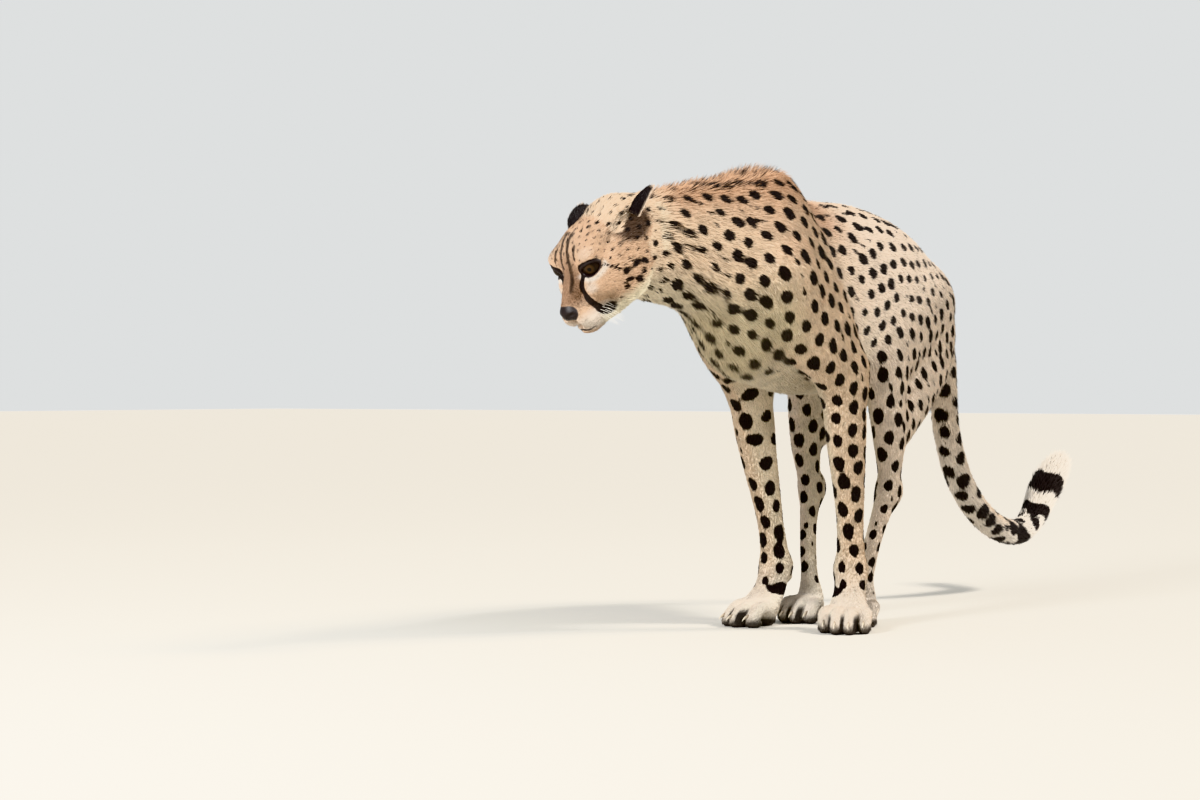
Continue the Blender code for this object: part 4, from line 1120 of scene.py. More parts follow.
# ------------------------------------------------------ what the skin remembers
LAYERS, HEAD_LAYERS = 3.2, 1.9           # how many tufts lie over each other
LEG_SHARE, FOOT_SHARE = 0.80, 0.85       # thinner coats on the legs, and again on the feet
FOOT_TOP = 0.10
SOLE_TOP = 0.006             # no tufts grow below this height
layers = np.where(part == HEAD_PART, HEAD_LAYERS, LAYERS) * np.where(legs, LEG_SHARE, 1.0) \
    * np.where(legs & (z < FOOT_TOP), FOOT_SHARE, 1.0)
cover = layers / (0.5 * tuft_width * hair)
cover *= (1.0 - smoothstep(0.15, 0.5, bare)) * (1.0 - 0.5 * claw_nearness)
at_eye = (from_eye[:, 2] > -0.004) & (np.linalg.norm(from_eye, axis=1) < EYE_RADIUS + 0.0012)
cover[at_eye & on_head] = 0.0
cover[hide & (z < SOLE_TOP)] = 0.0


def remember(name, kind, values):
    attribute = skin.data.attributes.get(name) or skin.data.attributes.new(name, kind, "POINT")
    field = {"FLOAT": "value", "FLOAT_VECTOR": "vector", "FLOAT_COLOR": "color"}[kind]
    attribute.data.foreach_set(field, np.ascontiguousarray(values, np.float32).ravel())


remember("ground", "FLOAT_COLOR", np.column_stack((ground, np.ones(count))))
for name, values in (("spot", spot), ("faded", faded), ("bare", bare), ("hair", hair),
                     ("lift", lift), ("tuft_width", tuft_width), ("cover", cover)):
    remember(name, "FLOAT", values)
remember("lie", "FLOAT_VECTOR", way)
points[:, 2] = np.maximum(points[:, 2], -STAND[2])      # the pads are pressed flat
skin.data.vertices.foreach_set("co", points.astype(np.float32).ravel())
skin.data.transform(Matrix.Translation(STAND))


# ------------------------------------------------------------ the hide's material
# Skin under short fur, matt and a little streaked; the nose, the lids, the lips
# and the pads are bare black leather, damp enough to shine softly.
def add(tree, kind, inputs=None, **settings):
    """A new node with its settings; inputs take a value or another node's socket."""
    node = tree.nodes.new(kind)
    for name, value in settings.items():
        setattr(node, name, value)
    for name, value in (inputs or {}).items():
        if isinstance(value, bpy.types.NodeSocket):
            tree.links.new(value, node.inputs[name])
        else:
            node.inputs[name].default_value = value
    return node


def new_material(name):
    """An empty material and its tree, with a shader joined to the output."""
    material = bpy.data.materials.new(name)
    material.use_nodes = True
    tree = material.node_tree
    tree.nodes.clear()
    shader = add(tree, "ShaderNodeBsdfPrincipled")
    add(tree, "ShaderNodeOutputMaterial", {"Surface": shader.outputs[0]})
    return material, tree, shader


def hex_colour(colour):
    return (*linear(colour), 1.0)


INK = "#130809"              # the spots: near black, a little red where hair is thin


def marked_colour(tree, ragged_edge):
    """The ground colour with the spots laid over it, their edges broken by hairs."""
    place = add(tree, "ShaderNodeTexCoord").outputs["Object"]
    ground_colour = add(tree, "ShaderNodeAttribute", attribute_name="ground").outputs["Color"]
    spot_value = add(tree, "ShaderNodeAttribute", attribute_name="spot").outputs["Fac"]
    faded_value = add(tree, "ShaderNodeAttribute", attribute_name="faded").outputs["Fac"]
    # The ground varies in clouds about 22 mm across, a spot's edge in locks of about 3 mm.
    mottle = add(tree, "ShaderNodeTexNoise", {"Vector": place, "Scale": 45.0, "Detail": 3.0})
    tone = add(tree, "ShaderNodeMapRange", {"Value": mottle.outputs["Fac"], "From Min": 0.3,
                                            "From Max": 0.7, "To Min": 0.86, "To Max": 1.10})
    toned = add(tree, "ShaderNodeVectorMath", {0: ground_colour, "Scale": tone.outputs[0]},
                operation="SCALE")
    grain = add(tree, "ShaderNodeTexNoise", {"Vector": place, "Scale": 320.0, "Detail": 2.0})
    broken = add(tree, "ShaderNodeMath", {0: grain.outputs["Fac"], 1: ragged_edge, 2: -0.5 * ragged_edge},
                 operation="MULTIPLY_ADD")
    value = add(tree, "ShaderNodeMath", {0: spot_value, 1: broken.outputs[0]}, operation="ADD")
    softness = add(tree, "ShaderNodeMath", {0: faded_value, 1: 0.30, 2: 0.07}, operation="MULTIPLY_ADD")
    below = add(tree, "ShaderNodeMath", {0: softness.outputs[0], 1: -1.0}, operation="MULTIPLY")
    ink_share = add(tree, "ShaderNodeMapRange",
                    {"Value": value.outputs[0], "From Min": below.outputs[0],
                     "From Max": softness.outputs[0]}, interpolation_type="SMOOTHSTEP")
    strength = add(tree, "ShaderNodeMath", {0: faded_value, 1: -0.12, 2: 1.0}, operation="MULTIPLY_ADD")
    share = add(tree, "ShaderNodeMath", {0: ink_share.outputs[0], 1: strength.outputs[0]},
                operation="MULTIPLY")
    inked = add(tree, "ShaderNodeMix", {"Factor": share.outputs[0], "A": toned.outputs[0],
                                        "B": hex_colour(INK)}, data_type="RGBA")
    return inked.outputs["Result"]


def hide_material():
    """Short-haired hide: matt fur laid in fine streaks; wet, pebbled leather where bare."""
    material, tree, shader = new_material("hide_short_fur")
    place = add(tree, "ShaderNodeTexCoord").outputs["Object"]
    bare_value = add(tree, "ShaderNodeAttribute", attribute_name="bare").outputs["Fac"]
    colour = marked_colour(tree, 0.30)
    # Painted shade: where hair covers it the skin is a fifth darker, for the shade of the coat over it;
    # bare leather keeps its own colour.
    shade = add(tree, "ShaderNodeVectorMath", {0: colour, "Scale": 0.80}, operation="SCALE")
    own = add(tree, "ShaderNodeMix", {"Factor": bare_value, "A": shade.outputs[0], "B": colour},
              data_type="RGBA")
    roughness = add(tree, "ShaderNodeMapRange", {"Value": bare_value, "To Min": 0.85, "To Max": 0.50})
    # Short hairs and the pebbles of the nose leather are both about 1.1 mm across.
    fur = add(tree, "ShaderNodeTexNoise", {"Vector": place, "Scale": 900.0, "Detail": 2.0})
    pebbles = add(tree, "ShaderNodeTexVoronoi", {"Vector": place, "Scale": 900.0})
    relief = add(tree, "ShaderNodeMix", {"Factor": bare_value, "A": fur.outputs["Fac"],
                                         "B": pebbles.outputs["Distance"]}, data_type="FLOAT")
    bump = add(tree, "ShaderNodeBump", {"Height": relief.outputs["Result"], "Strength": 0.25,
                                        "Distance": 0.0006})
    tree.links.new(own.outputs["Result"], shader.inputs["Base Color"])
    tree.links.new(roughness.outputs[0], shader.inputs["Roughness"])
    tree.links.new(bump.outputs[0], shader.inputs["Normal"])
    shader.inputs["Specular IOR Level"].default_value = 0.35
    return material


def fur_material():
    """Guard hairs: dry keratin, matt with a faint sheen; painted shade darkens each tuft towards its
    root, in the depth of the coat, and lightens its tip a little.
    """
    material, tree, shader = new_material("fur_guard_hair")
    colour = marked_colour(tree, 0.16)
    tip_value = add(tree, "ShaderNodeAttribute", attribute_name="tip").outputs["Fac"]
    tint = add(tree, "ShaderNodeAttribute", attribute_name="tint").outputs["Fac"]
    # Painted shade: a tuft's colour runs from 0.76 at the root to 1.12 at the tip; tint is its own random
    # tone.
    depth = add(tree, "ShaderNodeMapRange", {"Value": tip_value, "To Min": 0.76, "To Max": 1.12})
    shade = add(tree, "ShaderNodeMath", {0: depth.outputs[0], 1: tint}, operation="MULTIPLY")
    own = add(tree, "ShaderNodeVectorMath", {0: colour, "Scale": shade.outputs[0]}, operation="SCALE")
    tree.links.new(own.outputs[0], shader.inputs["Base Color"])
    shader.inputs["Roughness"].default_value = 0.72
    shader.inputs["Specular IOR Level"].default_value = 0.18
    shader.inputs["Sheen Weight"].default_value = 0.04
    shader.inputs["Sheen Roughness"].default_value = 0.5
    return material


skin.data.materials.clear()
skin.data.materials.append(hide_material())
FLESH = [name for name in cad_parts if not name.startswith(("eye_", "claw_"))]
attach(skin, "root")
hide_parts(*sorted(FLESH))

# ==================================================================== the coat
# Short guard hairs in tufts, rooted in the skin and lying back along the body.
# Each tuft is a thin closed spike of keratin.  They are strewn over the skin part
# by part, and every part's coat is a piece of its own.
FUR = fur_material()
PATCH = 0.003                # a tuft's share of the unwrapped skin
TURN_SHARE = 0.498 / math.pi             # a whole turn round a part stays on the map
TUFT_FLATNESS = 0.45         # depth of a tuft over its width
TUFT_SUNK = 0.12             # share of a tuft's length that is rooted in the skin
FLOOR_GAP = 0.0004           # hair never reaches lower than this
MARK_BELOW = 0.62            # how far a hair takes the mark that it lies over


def coat_tree(name):
    """Nodes that strew tufts over the skin, lying the way that it remembers."""
    tree = bpy.data.node_groups.new(name, "GeometryNodeTree")
    face = tree.interface
    face.new_socket("Skin", in_out="INPUT", socket_type="NodeSocketGeometry")
    for label, kind in (("Thickness of cover", "NodeSocketFloat"), ("Spread", "NodeSocketFloat"),
                        ("Patch", "NodeSocketFloat"), ("Seed", "NodeSocketInt"),
                        ("Fur", "NodeSocketMaterial")):
        face.new_socket(label, in_out="INPUT", socket_type=kind)
    face.new_socket("Coat", in_out="OUTPUT", socket_type="NodeSocketGeometry")
    given = add(tree, "NodeGroupInput").outputs
    known = {}
    for label, kind in (("cover", "FLOAT"), ("share", "FLOAT"), ("lift", "FLOAT"), ("hair", "FLOAT"),
                        ("tuft_width", "FLOAT"), ("spot", "FLOAT"), ("lie", "FLOAT_VECTOR"),
                        ("around", "FLOAT_VECTOR"), ("patch", "FLOAT_VECTOR")):
        known[label] = add(tree, "GeometryNodeInputNamedAttribute", {"Name": label},
                           data_type=kind).outputs["Attribute"]
    luck = {}
    for salt, (label, low, high, kind) in enumerate((
            ("stray", (-1.0, -1.0, -1.0), (1.0, 1.0, 1.0), "FLOAT_VECTOR"),
            ("raise", 0.6, 1.5, "FLOAT"), ("length", 0.72, 1.18, "FLOAT"),
            ("width", 0.75, 1.25, "FLOAT"), ("tint", 0.86, 1.10, "FLOAT")), start=1):
        own_seed = add(tree, "ShaderNodeMath", {0: given["Seed"], 1: float(salt)}, operation="ADD")
        draw = add(tree, "FunctionNodeRandomValue", {"Seed": own_seed.outputs[0]}, data_type=kind)
        limits = [socket for socket in draw.inputs if socket.enabled and socket.name in ("Min", "Max")]
        limits[0].default_value = low
        limits[1].default_value = high
        luck[label] = [socket for socket in draw.outputs if socket.enabled][0]

    # One tuft, a metre long and wide, standing on its root.
    spike = add(tree, "GeometryNodeMeshCone", {"Vertices": 3, "Side Segments": 1, "Radius Top": 0.0,
                                               "Radius Bottom": 0.5, "Depth": 1.0}, fill_type="NGON")
    within_tuft = add(tree, "GeometryNodeInputPosition").outputs[0]
    parts = add(tree, "ShaderNodeSeparateXYZ", {0: within_tuft}).outputs
    tip_known = add(tree, "GeometryNodeStoreNamedAttribute",
                    {"Geometry": spike.outputs["Mesh"], "Name": "tip", "Value": parts["Z"]},
                    data_type="FLOAT", domain="POINT")
    flattened = add(tree, "ShaderNodeCombineXYZ", {"X": parts["X"], "Y": parts["Z"]}).outputs[0]
    tuft = add(tree, "GeometryNodeStoreNamedAttribute",
               {"Geometry": tip_known.outputs[0], "Name": "patch", "Value": flattened},
               data_type="FLOAT_VECTOR", domain="POINT")

    # Roots on this part of the skin, sunk a little so that no tuft floats.
    wanted = add(tree, "ShaderNodeMath", {0: known["cover"], 1: known["share"]}, operation="MULTIPLY")
    density = add(tree, "ShaderNodeMath", {0: wanted.outputs[0], 1: given["Thickness of cover"]},
                  operation="MULTIPLY").outputs[0]
    roots = add(tree, "GeometryNodeDistributePointsOnFaces",
                {"Mesh": given["Skin"], "Seed": given["Seed"], "Density": density},
                distribute_method="RANDOM")
    normal = roots.outputs["Normal"]
    stray = add(tree, "ShaderNodeVectorMath", {0: luck["stray"], "Scale": given["Spread"]},
                operation="SCALE").outputs[0]
    height = add(tree, "ShaderNodeMath", {0: known["lift"], 1: luck["raise"]}, operation="MULTIPLY")
    raised = add(tree, "ShaderNodeVectorMath", {0: normal, "Scale": height.outputs[0]},
                 operation="SCALE").outputs[0]
    leaning = add(tree, "ShaderNodeVectorMath", {0: known["lie"], 1: raised}, operation="ADD").outputs[0]
    strayed = add(tree, "ShaderNodeVectorMath", {0: leaning, 1: stray}, operation="ADD").outputs[0]
    aim = add(tree, "ShaderNodeVectorMath", {0: strayed}, operation="NORMALIZE").outputs[0]
    turn = add(tree, "FunctionNodeAxesToRotation", {0: aim, 1: normal}, primary_axis="Z",
               secondary_axis="Y")
    length = add(tree, "ShaderNodeMath", {0: known["hair"], 1: luck["length"]},
                 operation="MULTIPLY").outputs[0]
    width = add(tree, "ShaderNodeMath", {0: known["tuft_width"], 1: luck["width"]},
                operation="MULTIPLY").outputs[0]
    depth = add(tree, "ShaderNodeMath", {0: width, 1: TUFT_FLATNESS}, operation="MULTIPLY").outputs[0]
    size = add(tree, "ShaderNodeCombineXYZ", {"X": width, "Y": depth, "Z": length}).outputs[0]
    below_skin = add(tree, "ShaderNodeMath", {0: length, 1: -TUFT_SUNK}, operation="MULTIPLY")
    sunk = add(tree, "ShaderNodeVectorMath", {0: aim, "Scale": below_skin.outputs[0]},
               operation="SCALE").outputs[0]
    rooted = add(tree, "GeometryNodeSetPosition", {"Geometry": roots.outputs["Points"], "Offset": sunk})
    tinted = add(tree, "GeometryNodeStoreNamedAttribute",
                 {"Geometry": rooted.outputs[0], "Name": "tint", "Value": luck["tint"]},
                 data_type="FLOAT", domain="POINT")
    strewn = add(tree, "GeometryNodeInstanceOnPoints",
                 {"Points": tinted.outputs[0], "Instance": tuft.outputs[0],
                  "Rotation": turn.outputs[0], "Scale": size})
    real = add(tree, "GeometryNodeRealizeInstances", {"Geometry": strewn.outputs[0]})

    # Hair that would reach the floor lies along it.
    place = add(tree, "GeometryNodeInputPosition").outputs[0]
    reached = add(tree, "ShaderNodeSeparateXYZ", {0: place}).outputs
    height = add(tree, "ShaderNodeMath", {0: reached["Z"], 1: FLOOR_GAP}, operation="MAXIMUM").outputs[0]
    above = add(tree, "ShaderNodeCombineXYZ", {"X": reached["X"], "Y": reached["Y"], "Z": height})
    laid = add(tree, "GeometryNodeSetPosition", {"Geometry": real.outputs[0],
                                                 "Position": above.outputs[0]})

    # A hair is dark where it grows from a spot; what lies over the spot's edge shows less.
    below = add(tree, "GeometryNodeSampleNearestSurface",
                {"Mesh": given["Skin"], "Value": known["spot"]}, data_type="FLOAT").outputs["Value"]
    own_mark = add(tree, "ShaderNodeMath", {0: known["spot"], 1: 1.0 - MARK_BELOW},
                   operation="MULTIPLY").outputs[0]
    mark = add(tree, "ShaderNodeMath", {0: below, 1: MARK_BELOW, 2: own_mark},
               operation="MULTIPLY_ADD").outputs[0]
    marked = add(tree, "GeometryNodeStoreNamedAttribute",
                 {"Geometry": laid.outputs[0], "Name": "spot", "Value": mark},
                 data_type="FLOAT", domain="POINT")

    # Each tuft has its own small patch at its root's place on the unwrapped skin.
    round_part = add(tree, "ShaderNodeSeparateXYZ", {0: known["around"]}).outputs
    own_patch = add(tree, "ShaderNodeSeparateXYZ", {0: known["patch"]}).outputs
    angle = add(tree, "ShaderNodeMath", {0: round_part["Y"], 1: round_part["X"]},
                operation="ARCTAN2").outputs[0]
    turned = add(tree, "ShaderNodeMath", {0: angle, 1: TURN_SHARE, 2: 0.5},
                 operation="MULTIPLY_ADD").outputs[0]
    across = add(tree, "ShaderNodeMath", {0: own_patch["X"], 1: given["Patch"], 2: turned},
                 operation="MULTIPLY_ADD").outputs[0]
    along = add(tree, "ShaderNodeMath", {0: own_patch["Y"], 1: given["Patch"], 2: round_part["Z"]},
                operation="MULTIPLY_ADD").outputs[0]
    unwrapped = add(tree, "ShaderNodeCombineXYZ", {"X": across, "Y": along}).outputs[0]
    mapped = add(tree, "GeometryNodeStoreNamedAttribute",
                 {"Geometry": marked.outputs[0], "Name": "OFBake", "Value": unwrapped},
                 data_type="FLOAT2", domain="CORNER")
    smooth = add(tree, "GeometryNodeSetShadeSmooth", {"Geometry": mapped.outputs[0]})
    dressed = add(tree, "GeometryNodeSetMaterial", {"Geometry": smooth.outputs[0],
                                                    "Material": given["Fur"]})
    add(tree, "NodeGroupOutput", {0: dressed.outputs[0]})
    return tree


def grow(name, tree, settings):
    """Grow a tree's tufts on the skin, as a plain object of their own."""
    grown = bpy.data.objects.new(name, skin.data)
    bpy.context.collection.objects.link(grown)
    modifier = grown.modifiers.new("grow", "NODES")
    modifier.node_group = tree
    for item in tree.interface.items_tree:
        if item.in_out == "INPUT" and item.name in settings:
            modifier[item.identifier] = settings[item.name]
    apply_modifiers(grown)
    for spare in ("around", "patch", "lie", "hair", "lift", "tuft_width", "cover", "share", "bare"):
        attribute = grown.data.attributes.get(spare)
        if attribute:
            grown.data.attributes.remove(attribute)
    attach(grown, "root")


def around_line(line, side):
    """Cosine and sine of the turn round a line, and the share of the way along it."""
    line = curve_through([(*stop, 0.0, 0.0) for stop in line], 4)[:, :3]
    steps = np.concatenate(((0.0,), np.cumsum(np.linalg.norm(np.diff(line, axis=0), axis=1))))
    nearest = np.full(count, 9.0)
    turn = np.zeros(count)
    along = np.zeros(count)
    for index, (first, last) in enumerate(zip(line[:-1], line[1:])):
        run = last - first
        away = points - first
        t = np.clip(away @ run / (run @ run), 0.0, 1.0)
        offset = away - t[:, None] * run
        gap = np.linalg.norm(offset, axis=1)
        closer = gap < nearest
        nearest[closer] = gap[closer]
        up = np.cross(run / np.linalg.norm(run), side)
        turn[closer] = np.arctan2(offset @ side, offset @ up)[closer]
        along[closer] = (steps[index] + t * np.linalg.norm(run))[closer]
    return np.column_stack((np.cos(turn), np.sin(turn), 0.01 + 0.98 * along / steps[-1]))


def foot_line(stations, place, sign):
    line = [(sign * s[0], s[1], s[2]) for s in stations]
    return line + [(sign * place[0], place[1] - 0.06, 0.0)]


ACROSS = np.array((1.0, 0.0, 0.0))
lines = {
    "head": ([tuple(in_head(-0.06, 0.0, -0.03)), tuple(in_head(0.17, 0.0, -0.07))], HEAD_AXES[1]),
    "neck": ([s[:3] for s in NECK], ACROSS),
    "trunk_front": ([s[:3] for s in TRUNK], ACROSS),
    "trunk_rear": ([s[:3] for s in TRUNK], ACROSS),
    "tail": ([s[:3] for s in TAIL], ACROSS),
}
for side, sign in (("left", 1.0), ("right", -1.0)):
    lines["foreleg_" + side] = (foot_line(SHOULDER_BLADE[:2] + UPPER_ARM[1:3] + FOREARM[1:],
                                          forepaw_place(side), sign), ACROSS)
    lines["hindleg_" + side] = (foot_line(THIGH[:3] + SHANK[1:] + HIND_CANNON[1:4], HINDPAW_PLACE, sign),
                                ACROSS)

short_coat = coat_tree("short_coat")
SPREAD = 0.10                # how far tufts stray from the lie of the coat
MID_TRUNK = 0.015            # y where the coat of the trunk is divided
for number, (name, (line, side)) in enumerate(lines.items()):
    if name.startswith("trunk"):
        share = (part == TRUNK_PART) & ((y < MID_TRUNK) == (name == "trunk_front"))
    else:
        share = part == PARTS.index(name)
    remember("share", "FLOAT", share)
    remember("around", "FLOAT_VECTOR", around_line(line, side))
    grow("coat_" + name, short_coat,
         {"Thickness of cover": 1.0, "Spread": SPREAD,
          "Patch": PATCH, "Seed": SEED + number, "Fur": FUR})

# ---------------------------------------------------------------- the whiskers
# Short, stiff white bristles set in the dark patch of the upper lip; each is a
# fine tapered hair that bends back and down.
WHISKERS = 13                # on each side
WHISKER_RADIUS, WHISKER_STEPS = 0.00032, 9


def whisker_roots():
    """A mesh of loose points, one for each bristle, that know its directions and length."""
    around_head = around_line(*lines["head"])
    places, outwards, bends, lengths, unwrapped = [], [], [], [], []
    for sign in (1.0, -1.0):
        for number in range(WHISKERS):
            row, place = number % 3, number / (WHISKERS - 1)
            root = np.array((0.130 - 0.022 * place, 0.032, -0.082 - 0.007 * row))
            root[1] *= sign
            nearest = np.argmin(((head - root)[:hide_count] ** 2).sum(axis=1))
            places.append(points[nearest] + STAND)
            outwards.append(normals[nearest])
            bends.append(np.array((-0.40, 0.05 * sign, -0.65 - 0.35 * chance.random())) @ HEAD_AXES)
            lengths.append(chance.uniform(0.018, 0.036))
            cosine, sine, along = around_head[nearest]
            unwrapped.append((TURN_SHARE * math.atan2(sine, cosine) + 0.5, along, 0.0))
    roots = mesh_object("whiskers", np.array(places), [])
    for name, kind, values in (("root", "FLOAT_VECTOR", places), ("outward", "FLOAT_VECTOR", outwards),
                               ("bend", "FLOAT_VECTOR", bends), ("length", "FLOAT", lengths),
                               ("unwrapped", "FLOAT_VECTOR", unwrapped)):
        attribute = roots.data.attributes.new(name, kind, "POINT")
        field = "value" if kind == "FLOAT" else "vector"
        attribute.data.foreach_set(field, np.array(values, np.float32).ravel())
    return roots


def whisker_tree():
    """Nodes that set a fine tapered bristle on every root and bend it back."""
    tree = bpy.data.node_groups.new("whiskers", "GeometryNodeTree")
    face = tree.interface
    face.new_socket("Roots", in_out="INPUT", socket_type="NodeSocketGeometry")
    for label, kind in (("Radius", "NodeSocketFloat"), ("Patch", "NodeSocketFloat"),
                        ("Bristle", "NodeSocketMaterial")):
        face.new_socket(label, in_out="INPUT", socket_type=kind)
    face.new_socket("Whiskers", in_out="OUTPUT", socket_type="NodeSocketGeometry")
    given = add(tree, "NodeGroupInput").outputs
    root, outward, bend, length, unwrapped, straight = [
        add(tree, "GeometryNodeInputNamedAttribute", {"Name": label}, data_type=kind).outputs[0]
        for label, kind in (("root", "FLOAT_VECTOR"), ("outward", "FLOAT_VECTOR"),
                            ("bend", "FLOAT_VECTOR"), ("length", "FLOAT"),
                            ("unwrapped", "FLOAT_VECTOR"), ("straight", "FLOAT_VECTOR"))]
    spike = add(tree, "GeometryNodeMeshCone", {"Vertices": 5, "Side Segments": WHISKER_STEPS - 1,
                                               "Radius Top": 0.2, "Radius Bottom": 1.0, "Depth": 1.0},
                fill_type="NGON")
    remembered = add(tree, "GeometryNodeStoreNamedAttribute",
                     {"Geometry": spike.outputs["Mesh"], "Name": "straight",
                      "Value": add(tree, "GeometryNodeInputPosition").outputs[0]},
                     data_type="FLOAT_VECTOR", domain="POINT")
    planted = add(tree, "GeometryNodeInstanceOnPoints", {"Points": given["Roots"],
                                                         "Instance": remembered.outputs[0]})
    real = add(tree, "GeometryNodeRealizeInstances", {"Geometry": planted.outputs[0]})
    along = add(tree, "ShaderNodeSeparateXYZ", {0: straight}).outputs
    # How far it reaches: a little below the skin at first; then more and more back.
    past = add(tree, "ShaderNodeMath", {0: along["Z"], 1: 0.06}, operation="SUBTRACT").outputs[0]
    reach = add(tree, "ShaderNodeMath", {0: past, 1: length}, operation="MULTIPLY").outputs[0]
    rising = add(tree, "ShaderNodeMath", {0: along["Z"], 1: -0.35, 2: 0.60},
                 operation="MULTIPLY_ADD").outputs[0]
    falling = add(tree, "ShaderNodeMath", {0: along["Z"], 1: 0.45, 2: 0.60},
                  operation="MULTIPLY_ADD").outputs[0]
    rise = add(tree, "ShaderNodeMath", {0: reach, 1: rising}, operation="MULTIPLY").outputs[0]
    fall = add(tree, "ShaderNodeMath", {0: reach, 1: falling}, operation="MULTIPLY").outputs[0]
    up = add(tree, "ShaderNodeMath", {0: along["Y"], 1: given["Radius"], 2: rise},
             operation="MULTIPLY_ADD").outputs[0]
    over = add(tree, "ShaderNodeMath", {0: along["X"], 1: given["Radius"]},
               operation="MULTIPLY").outputs[0]
    side = add(tree, "ShaderNodeVectorMath", {0: outward, 1: bend}, operation="CROSS_PRODUCT").outputs[0]
    sideways = add(tree, "ShaderNodeVectorMath", {0: side, "Scale": over}, operation="SCALE").outputs[0]
    upwards = add(tree, "ShaderNodeVectorMath", {0: outward, "Scale": up}, operation="SCALE").outputs[0]
    backwards = add(tree, "ShaderNodeVectorMath", {0: bend, "Scale": fall}, operation="SCALE").outputs[0]
    flat = add(tree, "ShaderNodeVectorMath", {0: root, 1: sideways}, operation="ADD").outputs[0]
    raised = add(tree, "ShaderNodeVectorMath", {0: upwards, 1: backwards}, operation="ADD").outputs[0]
    bent = add(tree, "ShaderNodeVectorMath", {0: flat, 1: raised}, operation="ADD").outputs[0]
    shaped = add(tree, "GeometryNodeSetPosition", {"Geometry": real.outputs[0], "Position": bent})
    # The same small patches on the unwrapped skin as the coat's tufts have.
    own_patch = add(tree, "ShaderNodeCombineXYZ", {"X": along["X"], "Y": along["Z"]}).outputs[0]
    spread = add(tree, "ShaderNodeVectorMath", {0: own_patch, "Scale": given["Patch"]},
                 operation="SCALE").outputs[0]
    laid = add(tree, "ShaderNodeVectorMath", {0: unwrapped, 1: spread}, operation="ADD").outputs[0]
    mapped = add(tree, "GeometryNodeStoreNamedAttribute",
                 {"Geometry": shaped.outputs[0], "Name": "OFBake", "Value": laid},
                 data_type="FLOAT2", domain="CORNER")
    smooth = add(tree, "GeometryNodeSetShadeSmooth", {"Geometry": mapped.outputs[0]})
    dressed = add(tree, "GeometryNodeSetMaterial", {"Geometry": smooth.outputs[0],
                                                    "Material": given["Bristle"]})
    add(tree, "NodeGroupOutput", {0: dressed.outputs[0]})
    return tree


# Bristle: solid white keratin, a little glossy, yellower over stretches of some 17 mm.
bristle, bristle_tree, bristle_shader = new_material("whisker_bristle")
bristle_place = add(bristle_tree, "ShaderNodeTexCoord").outputs["Object"]
bristle_noise = add(bristle_tree, "ShaderNodeTexNoise", {"Vector": bristle_place, "Scale": 60.0})
bristle_colour = add(bristle_tree, "ShaderNodeMix", {"Factor": bristle_noise.outputs["Fac"],
                                                     "A": hex_colour("#F4F1EA"),
                                                     "B": hex_colour("#DCD2BF")}, data_type="RGBA")
bristle_tree.links.new(bristle_colour.outputs["Result"], bristle_shader.inputs["Base Color"])
bristle_shader.inputs["Roughness"].default_value = 0.4
whiskers = whisker_roots()
planting = whiskers.modifiers.new("grow", "NODES")
planting.node_group = whisker_tree()
whisker_settings = {"Radius": WHISKER_RADIUS, "Patch": PATCH / 2.0, "Bristle": bristle}
for item in planting.node_group.interface.items_tree:
    if item.in_out == "INPUT" and item.name in whisker_settings:
        planting[item.identifier] = whisker_settings[item.name]
apply_modifiers(whiskers)
for spare in ("root", "outward", "bend", "length", "unwrapped", "straight"):
    whiskers.data.attributes.remove(whiskers.data.attributes[spare])
facing_outward(whiskers)
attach(whiskers, "root")

# ==================================================================== the eyes
# Wet, clear cornea over a brown iris, its colours darkened to near black as painted shade of
# the brow and lids, and a round pupil, the white dark and hardly seen.  A turned globe with a slight
# bulge in front, held by the lids.
IRIS_RADIUS, PUPIL_RADIUS = 0.0082, 0.0031
CORNEA_BULGE = 0.05
BULGE_FROM, BULGE_TO = 14.0, 42.0        # degrees from where the eye looks
MAP_RADIUS = 0.012                       # the colours below are placed by shares of this


